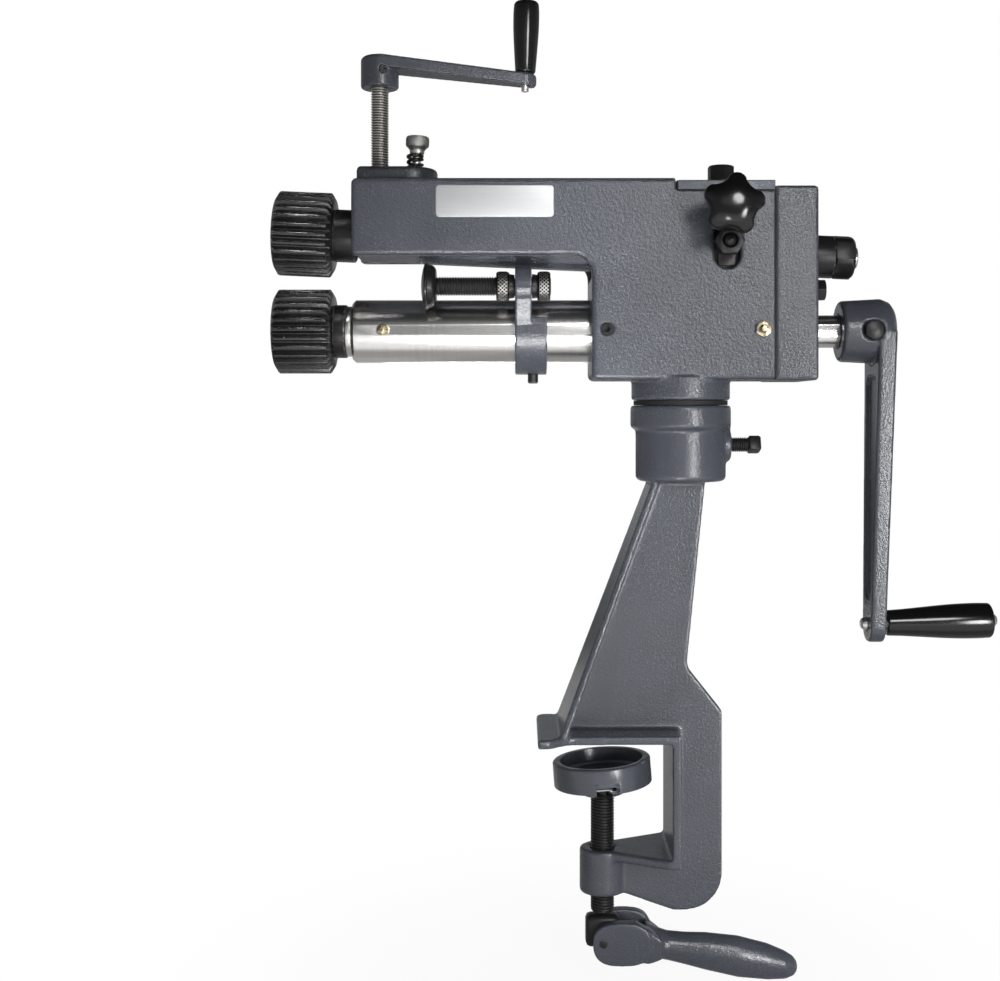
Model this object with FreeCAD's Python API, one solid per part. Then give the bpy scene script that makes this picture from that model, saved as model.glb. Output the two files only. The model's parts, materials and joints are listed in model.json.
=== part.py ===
"""Bench mounted hand cranked sheet metal crimper, in millimetres.

X runs along the roll shafts (rolls at -X, crank at +X), Y is the depth (the working side is -Y), Z is up.
The origin is on the underside of the bench clamp's upper jaw, on the axis of the clamp screw.
"""
import FreeCAD, Part
import math
import os

V = FreeCAD.Vector

# ------------------------------------------------------------------ clearances
running = 0.05            # radial clearance of shafts and screws that turn or slide
seated = 0.03             # radial clearance of parts that are keyed or pressed together
gap = 0.3                 # clearance between faces that pass each other
hole_play = 0.3           # radial play of a plain through hole

# ------------------------------------------------------------------ bench clamp and pedestal
jaw_plate = 5.6           # thickness of the upper jaw plate
jaw_opening = 76.4        # upper jaw's underside to the lower arm
throat = 44.4             # clamp screw axis to the inside of the C
flange = 6.4              # thickness of the flange round the inside of the C
flange_half = 33.0        # half depth of that flange
jaw_tip = 44.5            # clamp screw axis to the tip of the jaw
jaw_tip_half = 46.5       # half depth of the flared jaw tip on the working side
jaw_far_half = 39.0       # the same on the far side
web_half = 8.0            # half thickness of the web
spine_back = 80.3         # clamp screw axis to the back of the spine
column_top = 172.0        # jaw's underside to the underside of the socket
column_back_top = 69.4    # back edge of the column where it meets the socket
waist_x = 56.5            # back edge of the column at its waist
waist_z = 47.0
shoulder_z = 17.0         # where the back edge reaches the spine
strut_slope = 0.3725      # lean of the front strut, X per Z
strut_foot = -32.2        # front strut at the jaw's underside
strut_thick = 5.4         # front strut, measured along X
strut_half_top = 20.0
strut_half_foot = 37.0
boss_d = 31.0             # boss that the clamp screw runs in
boss_drop = 30.0
heel_r = 25.0             # round corner below the spine
heel_x = 47.5             # where the C's lower edge turns up towards the boss
heel_drop = 41.0          # lower arm's top to the lowest point of the C
socket_x = 53.1           # axis of the socket that holds the head
socket_d = 61.0
collar_d = 68.0
collar_low = 208.5
socket_top = 223.2
spigot_d = 51.0
socket_floor = 6.0
lock_boss_d = 23.0
lock_boss_reach = 33.7    # socket axis to the face of the lock screw's boss
lock_z = 196.6

lock_screw_d = 10.0
lock_head_af = 10.5
lock_head_len = 8.0
lock_thread_out = 12.7    # thread that shows between boss and head

clamp_screw_d = 16.0
pad_d = 66.3
pad_rim_z = -16.5         # top of the pad's rim below the jaw
pad_height = 16.5
pad_wall = 5.0
pad_floor = 5.5
pad_hub_d = 32.0
pad_hub_drop = 7.0
pad_floor_z = pad_rim_z - pad_height
hub_low = pad_floor_z - pad_hub_drop
pad_tilt = 4.4            # lean of the loose pad, degrees
neck_d = 9.4              # clamp screw's neck inside the pad
ball_d = 14.0             # clamp screw's head inside the pad
ball_low = pad_floor_z - 1.5
ball_top = pad_floor_z + pad_floor - 2.0
wire_d = 2.0
fork_head_d = 23.4        # end block of the clamp screw
fork_head_top = -122.0
fork_head_len = 21.4
fork_flat_half = 6.8      # the block's two flats
pin_z = -137.2
pin_d = 5.6
fork_half = 16.0          # half width of the handle's fork

# ------------------------------------------------------------------ frame casting
half = 31.5               # half depth of arm and body
arm_end = -167.5
arm_low = 322.0
frame_top = 373.2
body_left = -8.7
body_right = 112.3
body_low = 240.0
throat_r = 12.0
cast_r = 3.0
wall = 7.0
roof = 8.0
channel_floor = 305.0     # floor of the channel inside the body
neck_flange_d = 66.6
neck_flange_low = 226.7
pad_left = -165.0
pad_right = -112.0
pad_half = 19.0
pad_rise = 9.9
plate_left = 47.9
plate_thick = 6.6
plate_sink = 1.6          # top plate's face below the casting's
plate_gap = 1.2
plate_top = frame_top - plate_sink
plate_screw_d = 4.0
plate_screw_in = 3.6      # screw's axis to the plate's side
plate_screw_spots = [(x, y) for x in (plate_left + 8.0, body_right - 8.0)
                     for y in (-half + plate_screw_in, half - plate_screw_in)]
slot_w = 17.4
slot_low = 313.1
slot_high = 360.5

cover_right = 140.6
cover_low = 239.6
cover_top = 368.0
cover_half = half + 1.0
cover_wall = 4.6
cover_bolt_y = half - 7.5
cover_bolt_z = 299.5
bolt_d = 8.0
tube_screw_d = 8.0
tube_screw_x = 1.2
oiler_d = 6.0
body_oiler_x = 104.0
tube_oiler_x = -147.4

# ------------------------------------------------------------------ spindles
shaft_d = 22.0
shaft_end_d = 16.0
drive_z = 273.4           # axis of the lower shaft
gear_module = 3.0
gear_teeth = 17
gear_left = 116.0
gear_width = 18.0
roll_d = 57.0
roll_left = -221.5
roll_width = 39.4
roll_teeth = 28
roll_depth = 3.7          # depth of the crimping grooves
roll_chamfer = 2.6
nut_seat_d = 32.0
nut_seat_depth = 8.0
roll_nut_af = 24.0
key_w = 6.0
key_h = 6.0
roll_right = roll_left + roll_width
gear_key = (gear_left + 1.0, gear_left + gear_width - 1.0)
roll_key = (roll_left + nut_seat_depth + 2.0, roll_right - 3.0)
bush_d_low = 28.0
bush_d_up = 26.0
bush_len = 28.0
tube_d = 42.5
tube_left = -169.0
tube_right = 100.0
washer_thick = 3.7
washer_d = 34.0
lower_collar_d = 36.0
upper_collar_d = 35.5

# upper spindle, drawn level; the swing arm then leans by rest_lean about the pivot
pivot_x = 80.5
pivot_z = 330.5
axis_drop = 3.3           # upper shaft's axis below the pivot
shaft_z = pivot_z - axis_drop
rest_lean = 2.49          # degrees, rolls raised
nose_left = -166.5
nose_right = -119.5
nose_play = 0.7            # nose's side to the side of the channel
nose_half = half - wall - nose_play
nose_below = 14.5         # shaft axis to the nose's underside
nose_above = 19.0
nose_chamfer = 6.0
beam_d = 34.0
rear_half_len = 14.0
rear_below = 14.0
rear_above = 15.0
sleeve_d = 28.8
sleeve_end = 156.5
locknut_d = 30.2
locknut_end = 170.0
upper_tail = 172.7
upper_tail_d = 15.6

yoke_half_len = 14.5
yoke_half = half - wall - gap
yoke_cheek = 4.6
yoke_low = 314.0
yoke_bridge_low = 346.5
yoke_bridge = 13.5        # thickness of the bridge
yoke_top = yoke_bridge_low + yoke_bridge
rear_half = yoke_half - yoke_cheek - gap
tongue_w = 11.0
tongue_out = half - 3.0   # tongue's face, from the middle plane
pivot_pin_d = 10.0
pivot_pin_tip = rear_half - 4.8      # end of the pivot pin, from the middle plane
pivot_hex_af = 17.0
pivot_hex_in = half + 3.0
pivot_hex_out = pivot_hex_in + 10.0
pivot_dome_d = 8.8
pivot_dome_out = pivot_hex_out + 1.9
knob_x = 79.0
knob_z = 350.2
knob_d = 40.0
knob_waist_r = 15.2
knob_lobes = 5
knob_phase = 83.0
knob_back = half + 32.0
knob_face = knob_back + 14.5
knob_bulge = 6.6          # rise of the knob's domed face
knob_hub_d = 16.0
knob_stud_d = 8.0
knob_washer_d = 20.6
jack_d = 10.0
jack_af = 16.0
jack_collar_d = 19.0
jack_collar = 4.2
jack_hex = 10.0

# ------------------------------------------------------------------ pressure screw and lift stud
press_x = -151.3
press_d = 12.0
press_tip_r = 4.0
crank_boss_low = 438.2
crank_boss_top = 459.8
crank_boss_d = 25.7
press_arm_end = -52.4     # axis of the small grip
press_arm_thick = 7.6
press_arm_drop = 12.6     # the small crank arm slopes down by this much
press_arm_tip_r = 7.6
press_grip_d = 17.7
press_grip_len = 49.0
press_grip_low = 448.6
press_grip_lean = 1.0
press_pin_d = 5.0
press_set_d = 5.0
press_set_z = crank_boss_low + 11.1
press_set_turn = 15.0     # the set screw's direction, turned from the working side towards +X
stud_x = -128.6           # lift stud, in the level swing arm
stud_d = 6.0
lift_nut_low = 385.2      # underside of the lift nut's hub in the level swing arm
lift_hub_d = 10.0
lift_hub = 3.0
lift_nut_d = 16.0
lift_nut_h = 8.8
spring_d = 12.6
spring_wire = 1.3
spring_turns = 3.6
spring_x = -127.3
spring_pocket = 3.2       # depth of the spring's seat in the top pad

# ------------------------------------------------------------------ crank
crank_left = 160.2
crank_right = 197.0
crank_hub_d = 41.4
crank_hub_draft = 1.4     # the hub's radius grows by this much towards its arm
crank_throw = 198.4       # shaft axis to grip axis
grip_z = drive_z - crank_throw
crank_top_left = 183.4    # flat bar of the crank arm at the shaft's height
crank_foot_left = 179.6   # the same at the grip's height
crank_top_thick = 12.2
crank_foot_thick = 10.2
crank_foot_r = 12.2       # half width of the bar at the grip
recess_depth = 2.4
recess_edge = 6.0         # rim left round the recess of the bar
crank_bolt_x = 179.4
crank_bolt_af = 11.6
grip_left = 192.6
grip_right = 263.6
grip_small_d = 18.4
grip_big_d = 24.3
grip_end_d = 22.4
grip_pin_d = 8.0
grip_lean = 1.5           # the grip points up a little, degrees
rivet_d = 9.0
rivet_out = 4.4

# ------------------------------------------------------------------ gauge
bracket_left = -59.3
bracket_right = -38.0
bracket_d = 58.6
lug_right = -48.4
bracket_shoulder = 281.6  # the bracket is narrow above this height
rod_y = -24.5             # axis of the gauge rod
rod_z = 302.0
rod_d = 12.7
eye_r = 13.5
disc_d = 31.2
disc_left = -121.4
disc_thick = 9.9
nut_d = 19.8
nut_len = 8.5
nut_neck_d = 16.0
nut_neck = 3.6
nut_lows = (bracket_left - gap - nut_neck - nut_len, lug_right + gap + nut_neck)
gauge_screw_x = -47.2
gauge_screw_d = 7.0
gauge_screw_out = 6.0
groove_w = 7.6
groove_deep = 1.5

plate_len = 78.0          # bare name plate
plate_high = 21.4
plate_mid_x = -72.6
plate_mid_z = 357.6
plate_sheet = 1.2


# ------------------------------------------------------------------ helpers
AXES = {"X": V(1, 0, 0), "Y": V(0, 1, 0), "Z": V(0, 0, 1)}


def spot(axis, along, a=0.0, b=0.0):
    """A point: along the axis, then the two other coordinates in X, Y, Z order."""
    if axis == "X":
        return V(along, a, b)
    if axis == "Y":
        return V(a, along, b)
    return V(a, b, along)


def rod(axis, radius, low, high, a=0.0, b=0.0):
    return Part.makeCylinder(radius, high - low, spot(axis, low, a, b), AXES[axis])


def ring(axis, outer, inner, low, high, a=0.0, b=0.0):
    return rod(axis, outer, low, high, a, b).cut(rod(axis, inner, low, high, a, b))


def box(x0, x1, y0, y1, z0, z1):
    return Part.makeBox(x1 - x0, y1 - y0, z1 - z0, V(x0, y0, z0))


def outline(axis, level, corners):
    """Closed wire through (a, b, radius) corners, each corner a tangent arc of its radius."""
    flat = [(V(c[0], c[1], 0), c[2] if len(c) > 2 else 0.0) for c in corners]
    runs = []
    for i, (here, radius) in enumerate(flat):
        if radius == 0:
            runs.append((here, None, here))
            continue
        back = (flat[i - 1][0] - here).normalize()
        ahead = (flat[(i + 1) % len(flat)][0] - here).normalize()
        turn = back.getAngle(ahead) / 2
        reach = radius / math.tan(turn)
        to_mid = (back + ahead).normalize() * (radius / math.sin(turn) - radius)
        runs.append((here + back * reach, here + to_mid, here + ahead * reach))
    edges = []
    for i, (start, middle, end) in enumerate(runs):
        placed = [spot(axis, level, p.x, p.y) for p in (start, middle, end) if p is not None]
        if middle is not None:
            edges.append(Part.Arc(*placed).toShape())
        following = runs[(i + 1) % len(runs)][0]
        if end.distanceToPoint(following) > 1e-6:
            far = spot(axis, level, following.x, following.y)
            edges.append(Part.LineSegment(placed[-1], far).toShape())
    return Part.Wire(edges)


def plate(axis, low, high, corners):
    face = Part.Face(outline(axis, low, corners))
    return face.extrude(AXES[axis] * (high - low))


def polygon(sides, radius, phase=0.0, a=0.0, b=0.0):
    steps = [math.radians(phase + 360.0 * i / sides) for i in range(sides)]
    return [(a + radius * math.cos(s), b + radius * math.sin(s)) for s in steps]


def hexagon(axis, across_flats, low, high, a=0.0, b=0.0, phase=0.0):
    """Hexagonal prism whose outer corners are turned off at the high end."""
    radius = across_flats / 2 / math.cos(math.pi / 6)
    body = plate(axis, low, high, polygon(6, radius, phase, a, b))
    drop = (radius - across_flats / 2) * 0.62
    cap = turned(axis, [(low, 0), (low, radius + 1), (high - drop, radius + 1e-3),
                        (high, across_flats / 2 * 0.985), (high, 0)], a, b)
    return body.common(cap)


def turned(axis, profile, a=0.0, b=0.0):
    """Solid of revolution of (along, radius) points about the axis through (a, b)."""
    raised = [spot(axis, s, a, b + r) if axis != "Z" else spot(axis, s, a + r, b) for s, r in profile]
    face = Part.Face(Part.makePolygon(raised + raised[:1]))
    return face.revolve(spot(axis, 0, a, b), AXES[axis], 360)


def stadium(axis, radius, low, high, ends):
    """Round ended slot shape between two end centres (a, b)."""
    (a0, b0), (a1, b1) = ends
    first = rod(axis, radius, low, high, a0, b0)
    last = rod(axis, radius, low, high, a1, b1)
    side = V(b0 - b1, a1 - a0, 0).normalize() * radius
    corners = [(a0 + side.x, b0 + side.y), (a1 + side.x, b1 + side.y),
               (a1 - side.x, b1 - side.y), (a0 - side.x, b0 - side.y)]
    return joined(first, plate(axis, low, high, corners), last)


def joined(first, *rest):
    return first.multiFuse(list(rest)).removeSplitter()


def without(shape, *tools):
    for tool in tools:
        shape = shape.cut(tool)
    return shape


def rounded(shape, radius, wanted):
    edges = [e for e in shape.Edges if wanted(e.BoundBox)]
    return shape.makeFillet(radius, edges)


def beveled(shape, size, wanted):
    edges = [e for e in shape.Edges if wanted(e.BoundBox)]
    return shape.makeChamfer(size, edges)


def flat_at(axis, *levels):
    """True for an edge that lies in one of the planes across the axis."""
    def test(bounds):
        low = getattr(bounds, axis + "Min")
        high = getattr(bounds, axis + "Max")
        return any(abs(low - s) < 1e-4 and abs(high - s) < 1e-4 for s in levels)
    return test


def leaned(shape):
    """Swing arm pieces, drawn level, turned to the raised rest position."""
    turned_up = shape.copy()
    turned_up.rotate(V(pivot_x, 0, pivot_z), V(0, 1, 0), rest_lean)
    return turned_up


PIECES = {}


def keep(name, shape):
    PIECES[name] = shape


# ------------------------------------------------------------------ pedestal
def pedestal_casting():
    arm_top = -jaw_opening
    heel_z = arm_top - heel_drop
    web = plate("Y", -web_half, web_half, [
        (strut_foot + strut_thick, 0), (throat, 0), (throat, arm_top), (0, arm_top),
        (0, arm_top - boss_drop * 0.82), (heel_x, heel_z, heel_r / 2),
        (spine_back, heel_z + 1.0, heel_r), (spine_back, shoulder_z, 1.5),
        (waist_x, waist_z, 12.0), (column_back_top, column_top + 3),
        (strut_foot + strut_slope * (column_top + 3) + 1, column_top + 3)])
    strut = strut_plate()
    jaw = plate("Z", 0, jaw_plate, [
        (throat + flange, -flange_half), (throat + flange, flange_half),
        (-22, flange_half + 1.0, 14.0), (-34, jaw_far_half, 6.0), (-jaw_tip, jaw_far_half, 7.0),
        (-jaw_tip, -jaw_tip_half, 2.0), (-36, -jaw_tip_half + 1.5, 6.0), (-24, -flange_half - 1.5, 14.0)])
    back = box(throat, throat + flange, -flange_half, flange_half, arm_top - flange, jaw_plate)
    arm = plate("Z", arm_top - flange, arm_top, [
        (throat + flange, -flange_half), (throat + flange, flange_half), (throat - 2, flange_half),
        (6, boss_d / 2 - 1), (-1, boss_d / 2 - 4), (-1, -boss_d / 2 + 4), (6, -boss_d / 2 + 1),
        (throat - 2, -flange_half)])
    boss = rod("Z", boss_d / 2, arm_top - boss_drop, arm_top)
    boss = rounded(boss, 1.5, flat_at("Z", arm_top - boss_drop))
    socket = turned("Z", [
        (column_top, 0), (column_top, socket_d / 2 - 3), (column_top + 0.9, socket_d / 2 - 0.9),
        (column_top + 3, socket_d / 2), (collar_low - 2, socket_d / 2), (collar_low, collar_d / 2),
        (socket_top - 1, collar_d / 2), (socket_top, collar_d / 2 - 1), (socket_top, 0)], socket_x)
    lock_boss = rod("X", lock_boss_d / 2, socket_x + spigot_d / 2, socket_x + lock_boss_reach, 0, lock_z)
    lock_boss = rounded(lock_boss, 1.5, flat_at("X", socket_x + lock_boss_reach))
    casting = joined(web, strut, jaw, back, arm, boss, socket, lock_boss)
    casting = without(
        casting,
        rod("Z", spigot_d / 2 + running, column_top + socket_floor, socket_top + 1, socket_x),
        rod("X", lock_screw_d / 2 + running, socket_x, socket_x + lock_boss_reach + 1, 0, lock_z),
        rod("Z", clamp_screw_d / 2 + running, arm_top - boss_drop - 1, arm_top + 1))
    keep("pedestal_casting", casting)


def strut_plate():
    """Front strut: a tapering flat bar that leans back from the jaw tip to the socket."""
    rings = []
    for z, deep in ((0.0, strut_half_foot), (column_top + 3, strut_half_top)):
        x = strut_foot + strut_slope * z
        corners = [V(x, -deep, z), V(x + strut_thick, -deep, z), V(x + strut_thick, deep, z), V(x, deep, z)]
        rings.append(Part.makePolygon(corners + corners[:1]))
    return Part.makeLoft(rings, True, True)


def swivel_lock_screw():
    tip = socket_x + spigot_d / 2 + gap
    face = socket_x + lock_boss_reach
    shank = rod("X", lock_screw_d / 2, tip, face + lock_thread_out, 0, lock_z)
    start = face + lock_thread_out
    square = plate("X", start, start + lock_head_len, polygon(4, lock_head_af * 0.66, 20, 0, lock_z))
    barrel = turned("X", [
        (start, 0), (start, lock_head_af * 0.55), (start + 1, lock_head_af * 0.6),
        (start + lock_head_len - 1.4, lock_head_af * 0.6), (start + lock_head_len, lock_head_af * 0.5),
        (start + lock_head_len, 0)], 0, lock_z)
    keep("swivel_lock_screw", joined(shank, square.common(barrel)))


# ------------------------------------------------------------------ bench clamp screw
def tipped(shape):
    """The pad leans on the ball of the clamp screw."""
    leaning = shape.copy()
    leaning.rotate(V(0, 0, pad_rim_z - pad_height + pad_floor), V(0, 1, 0), -pad_tilt)
    return leaning


def clamp_pad():
    radius = pad_d / 2
    dish = turned("Z", [
        (hub_low, 0), (hub_low, pad_hub_d / 2 - 2), (hub_low + 2, pad_hub_d / 2),
        (pad_floor_z, pad_hub_d / 2), (pad_floor_z, radius - 4.0), (pad_floor_z + 2.5, radius - 1.0),
        (pad_floor_z + 4, radius), (pad_rim_z - 0.8, radius), (pad_rim_z, radius - 0.8),
        (pad_rim_z, radius - pad_wall), (pad_floor_z + pad_floor + 2, radius - pad_wall),
        (pad_floor_z + pad_floor, radius - pad_wall - 2), (pad_floor_z + pad_floor, 0)])
    wide = ball_d / 2 + 1.0
    neck = neck_d / 2 + 1.0
    pocket = joined(rod("Z", wide, ball_low - 1.0, ball_top + 1.0),
                    box(-wide, wide, -radius - 1, 0, ball_low - 1.0, ball_top + 1.0))
    slot = joined(rod("Z", neck, hub_low - 1, ball_low), box(-neck, neck, -radius, 0, hub_low - 1, ball_low))
    keep("clamp_pad", tipped(without(dish, pocket, slot, wire_hole(running))))


def wire_hole(play):
    reach = pad_hub_d / 2 * 0.82
    return rod("X", wire_d / 2 + play, -reach, reach, -neck_d / 2 - wire_d / 2 - 1.2, hub_low + 3.4)


def pad_retaining_wire():
    keep("pad_retaining_wire", tipped(wire_hole(0)))


def clamp_screw():
    head_top = fork_head_top
    head_low = fork_head_top - fork_head_len
    shank = rod("Z", clamp_screw_d / 2, head_top, hub_low - 1.2)
    neck = rod("Z", neck_d / 2, hub_low - 1.2, ball_low + 1.2)
    ball = turned("Z", [
        (ball_low + 0.4, 0), (ball_low + 0.4, ball_d / 2 - 1.8), (ball_low + 2.2, ball_d / 2),
        (ball_top - 1.6, ball_d / 2), (ball_top, ball_d / 2 - 2.4), (ball_top, 0)])
    block = turned("Z", [
        (head_low, 0), (head_low, fork_head_d / 2 - 1.5), (head_low + 1.5, fork_head_d / 2),
        (head_top - 1.5, fork_head_d / 2), (head_top, fork_head_d / 2 - 1.5), (head_top, 0)])
    flats = box(-fork_head_d, fork_head_d, -fork_flat_half, fork_flat_half, head_low - 1, head_top + 1)
    screw = joined(shank, neck, ball, block.common(flats))
    keep("clamp_screw", without(screw, rod("Y", pin_d / 2 + seated, -fork_half, fork_half, 0, pin_z)))


handle_sections = (        # distance from the pin along X, middle Z, height, depth
    (27.0, -138.6, 27.0, 29.0), (34.0, -141.2, 23.0, 22.0), (42.0, -143.5, 19.8, 18.0),
    (56.0, -145.6, 21.5, 18.0), (70.0, -147.6, 25.0, 19.5), (92.0, -151.2, 27.8, 20.5),
    (112.0, -154.6, 24.4, 18.5), (124.0, -156.9, 18.8, 15.0), (129.6, -157.6, 13.4, 11.0),
    (131.8, -157.8, 8.0, 6.6), (132.6, -157.9, 3.0, 2.4))


def clamp_handle():
    slot_half = fork_flat_half + gap
    block = plate("Y", -fork_half, fork_half, [
        (-7.2, -141.0, 6.0), (-6.4, -128.0, 7.0), (8.0, -122.6, 4.0), (22.0, -122.6, 6.0),
        (34.0, -131.0), (34.0, -151.5), (23.0, -152.6, 4.0), (6.0, -151.6, 8.0)])
    block = rounded(block, 2.6, flat_at("Y", -fork_half, fork_half))
    block = without(block, box(-20, 28, -slot_half, slot_half, -170, -110))
    rings = [Part.Wire(ellipse(x, z, high, deep)) for x, z, high, deep in handle_sections]
    grip = Part.makeLoft(rings, True, False)
    handle = joined(block, grip)
    keep("clamp_handle", without(handle, rod("Y", pin_d / 2 + running, -fork_half - 1, fork_half + 1, 0, pin_z)))


def ellipse(x, z, high, deep):
    """Upright ellipse across X, its long axis the larger of height and depth."""
    tall = high >= deep
    long_end = V(x, 0, z + high / 2) if tall else V(x, deep / 2, z)
    short_end = V(x, deep / 2, z) if tall else V(x, 0, z + high / 2)
    curve = Part.Ellipse(long_end, short_end, V(x, 0, z))
    start = 0.0 if tall else math.pi / 2
    return Part.Edge(curve, start, start + 2 * math.pi)


def handle_pin():
    keep("handle_pin", rod("Y", pin_d / 2, -fork_half - 0.4, fork_half + 0.4, 0, pin_z))


# ------------------------------------------------------------------ frame
def frame_casting():
    shell = plate("Y", -half, half, [
        (arm_end, arm_low, cast_r + 0.4), (arm_end, frame_top, cast_r + 0.4), (body_right, frame_top),
        (body_right, body_low), (body_left, body_low, 4.0), (body_left, arm_low, throat_r)])
    shell = rounded(shell, cast_r, lambda b: flat_at("Y", -half, half)(b) and b.XMax < body_right + 1
                    and b.XMin < body_right - 1)
    pad = joined(box(pad_left, pad_right - pad_half, -pad_half, pad_half, frame_top - 3, frame_top + pad_rise),
                 rod("Z", pad_half, frame_top - 3, frame_top + pad_rise, pad_right - pad_half))
    pad = rounded(pad, 2.5, flat_at("Z", frame_top + pad_rise))
    neck = turned("Z", [
        (column_top + socket_floor, 0), (column_top + socket_floor, spigot_d / 2 - 1),
        (column_top + socket_floor + 1, spigot_d / 2), (neck_flange_low, spigot_d / 2),
        (neck_flange_low, neck_flange_d / 2 - 1), (neck_flange_low + 1, neck_flange_d / 2),
        (body_low + 2, neck_flange_d / 2), (body_low + 2, 0)], socket_x)
    casting = joined(shell, pad, neck)
    inner = half - wall
    plate_floor = plate_top - plate_thick
    channel = plate("Y", -inner, inner, [
        (arm_end - 1, arm_low - 1), (arm_end - 1, frame_top - roof), (plate_left, frame_top - roof),
        (plate_left, plate_floor + 1), (body_right + 1, plate_floor + 1), (body_right + 1, channel_floor),
        (body_left + 14, channel_floor, 4.0), (body_left - 2, arm_low - throat_r - 1), (body_left - 14, arm_low - 1)])
    recess = box(plate_left - plate_gap, body_right + 1, -half - 1, half + 1, plate_floor, frame_top + 1)
    slot_ends = ((pivot_x, slot_low + slot_w / 2), (pivot_x, slot_high - slot_w / 2))
    casting = without(
        casting, channel, recess,
        rod("X", tube_d / 2 + seated, body_left - 1, tube_right, 0, drive_z),
        rod("X", shaft_d / 2 + 1.5, tube_right - 1, body_right + 1, 0, drive_z),
        stadium("Y", slot_w / 2, -half - 1, half + 1, slot_ends),
        rod("Z", press_d / 2 + running, arm_low, frame_top + pad_rise + 1, press_x),
        stadium("Z", stud_d / 2 + 0.8, arm_low, frame_top + pad_rise + 1, ((stud_x - 0.6, 0), (stud_x + 2.6, 0))),
        rod("Z", spring_d / 2 + hole_play, frame_top + pad_rise - spring_pocket, frame_top + pad_rise + 1, spring_x),
        rod("Y", tube_screw_d / 2 + seated, -half - 1, -tube_d / 2, tube_screw_x, drive_z),
        rod("Y", oiler_d / 2 + seated, -half - 1, -shaft_d / 2 - 2, body_oiler_x, drive_z))
    for side in (-1, 1):
        casting = casting.cut(rod("X", bolt_d / 2 + seated, body_right - 22, body_right + 1,
                                  side * cover_bolt_y, cover_bolt_z))
    for x, y in plate_screw_spots:
        casting = casting.cut(rod("Z", plate_screw_d / 2 + seated, plate_floor - 12, plate_floor + 1, x, y))
    keep("frame_casting", casting)


def top_plate():
    low = plate_top - plate_thick
    sheet = box(plate_left, body_right - 0.3, -half, half, low, plate_top)
    sheet = rounded(sheet, 1.2, lambda b: flat_at("Z", plate_top)(b) and b.XMin < body_right - 2)
    sheet = sheet.cut(rod("Z", jack_d / 2 + hole_play, low - 1, plate_top + 1, pivot_x))
    for x, y in plate_screw_spots:
        sheet = without(sheet, plate_screw(x, y, seated))
    keep("top_plate", sheet)
    screws = [plate_screw(x, y, 0.0) for x, y in plate_screw_spots]
    keep("top_plate_screws", Part.makeCompound(screws))


def plate_screw(x, y, play):
    """Flush countersunk screw, or the hole for it when play is given."""
    low = plate_top - plate_thick
    radius = plate_screw_d / 2 + play
    return turned("Z", [(low - 11 - play, 0), (low - 11 - play, radius), (plate_top - 2.2, radius),
                        (plate_top - 0.2 + play, radius + 1.3), (plate_top - 0.2 + play, 0)], x, y)


def gear_cover():
    shell = plate("Y", -cover_half, cover_half, [
        (body_right, cover_low), (body_right, cover_top),
        (cover_right, cover_top, 2.5), (cover_right, cover_low, 2.5)])
    shell = rounded(shell, 2.0, lambda b: flat_at("Y", -cover_half, cover_half)(b) and b.XMax > body_right + 1)
    gear_tip = gear_module * (gear_teeth + 2) / 2
    room = stadium("X", gear_tip + 0.9, body_right - 1, cover_right - cover_wall,
                   ((0, drive_z), (0, shaft_z)))
    shell = shell.cut(room)
    for side in (-1, 1):
        y = side * cover_bolt_y
        shell = shell.fuse(rod("X", bolt_d / 2 + 1.8, body_right, cover_right - 1, y, cover_bolt_z))
    for side in (-1, 1):
        y = side * cover_bolt_y
        shell = shell.cut(rod("X", bolt_d / 2 + seated, body_right - 1, cover_right + 1, y, cover_bolt_z))
    shell = without(
        shell, rod("X", shaft_d / 2 + 0.5, body_right, cover_right + 1, 0, drive_z),
        stadium("X", sleeve_d / 2 + 1.0, body_right, cover_right + 1, ((0, shaft_z - 4.4), (0, shaft_z + 0.6))))
    keep("gear_cover", shell.removeSplitter())


def hex_bolt(axis, across, seat, head, tip, a, b, radius, phase=0.0):
    """Bolt whose head stands out along +axis or -axis from its seat."""
    low, high = sorted((seat, tip))
    shank = rod(axis, radius, low, high, a, b)
    if tip < seat:
        return joined(shank, hexagon(axis, across, seat, seat + head, a, b, phase))
    cap = hexagon(axis, across, 0, head, a, b, phase)
    middle = spot(axis, 0, a, b)
    cap.rotate(middle, AXES["X"] if axis != "X" else AXES["Z"], 180)
    cap.translate(AXES[axis] * seat)
    return joined(shank, cap)


def cover_bolts():
    bolts = [hex_bolt("X", 13.0, cover_right, 5.3, body_right - 20, side * cover_bolt_y, cover_bolt_z, bolt_d / 2)
             for side in (-1, 1)]
    keep("cover_bolts", Part.makeCompound(bolts))


# ------------------------------------------------------------------ lower tube
def lower_tube():
    tube = turned("X", [
        (tube_left, bush_d_low / 2), (tube_left, tube_d / 2 - 2.0), (tube_left + 2.0, tube_d / 2),
        (tube_right, tube_d / 2), (tube_right, bush_d_low / 2)], 0, drive_z)
    low = drive_z - tube_d / 2
    groove = box(tube_left + 20, body_left - 2, -groove_w / 2, groove_w / 2, low - 1, low + groove_deep)
    tube = without(tube, groove,
                   rod("Y", oiler_d / 2 + seated, -tube_d / 2 - 1, -bush_d_low / 2, tube_oiler_x, drive_z))
    keep("lower_tube", tube)


def bush(outer, inner, low, z):
    return turned("X", [
        (low, inner), (low, outer - 0.8), (low + 0.8, outer), (low + bush_len - 0.8, outer),
        (low + bush_len, outer - 0.8), (low + bush_len, inner)], 0, z)


def bushes():
    outer = bush_d_low / 2
    inner = shaft_d / 2 + running
    pair = [bush(outer, inner, low, drive_z) for low in (tube_left, tube_right - bush_len)]
    keep("lower_bushes", Part.makeCompound(pair))
    outer = bush_d_up / 2
    pair = [leaned(bush(outer, inner, low, shaft_z)) for low in (nose_left, pivot_x - bush_len / 2)]
    keep("upper_bushes", Part.makeCompound(pair))


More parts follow.
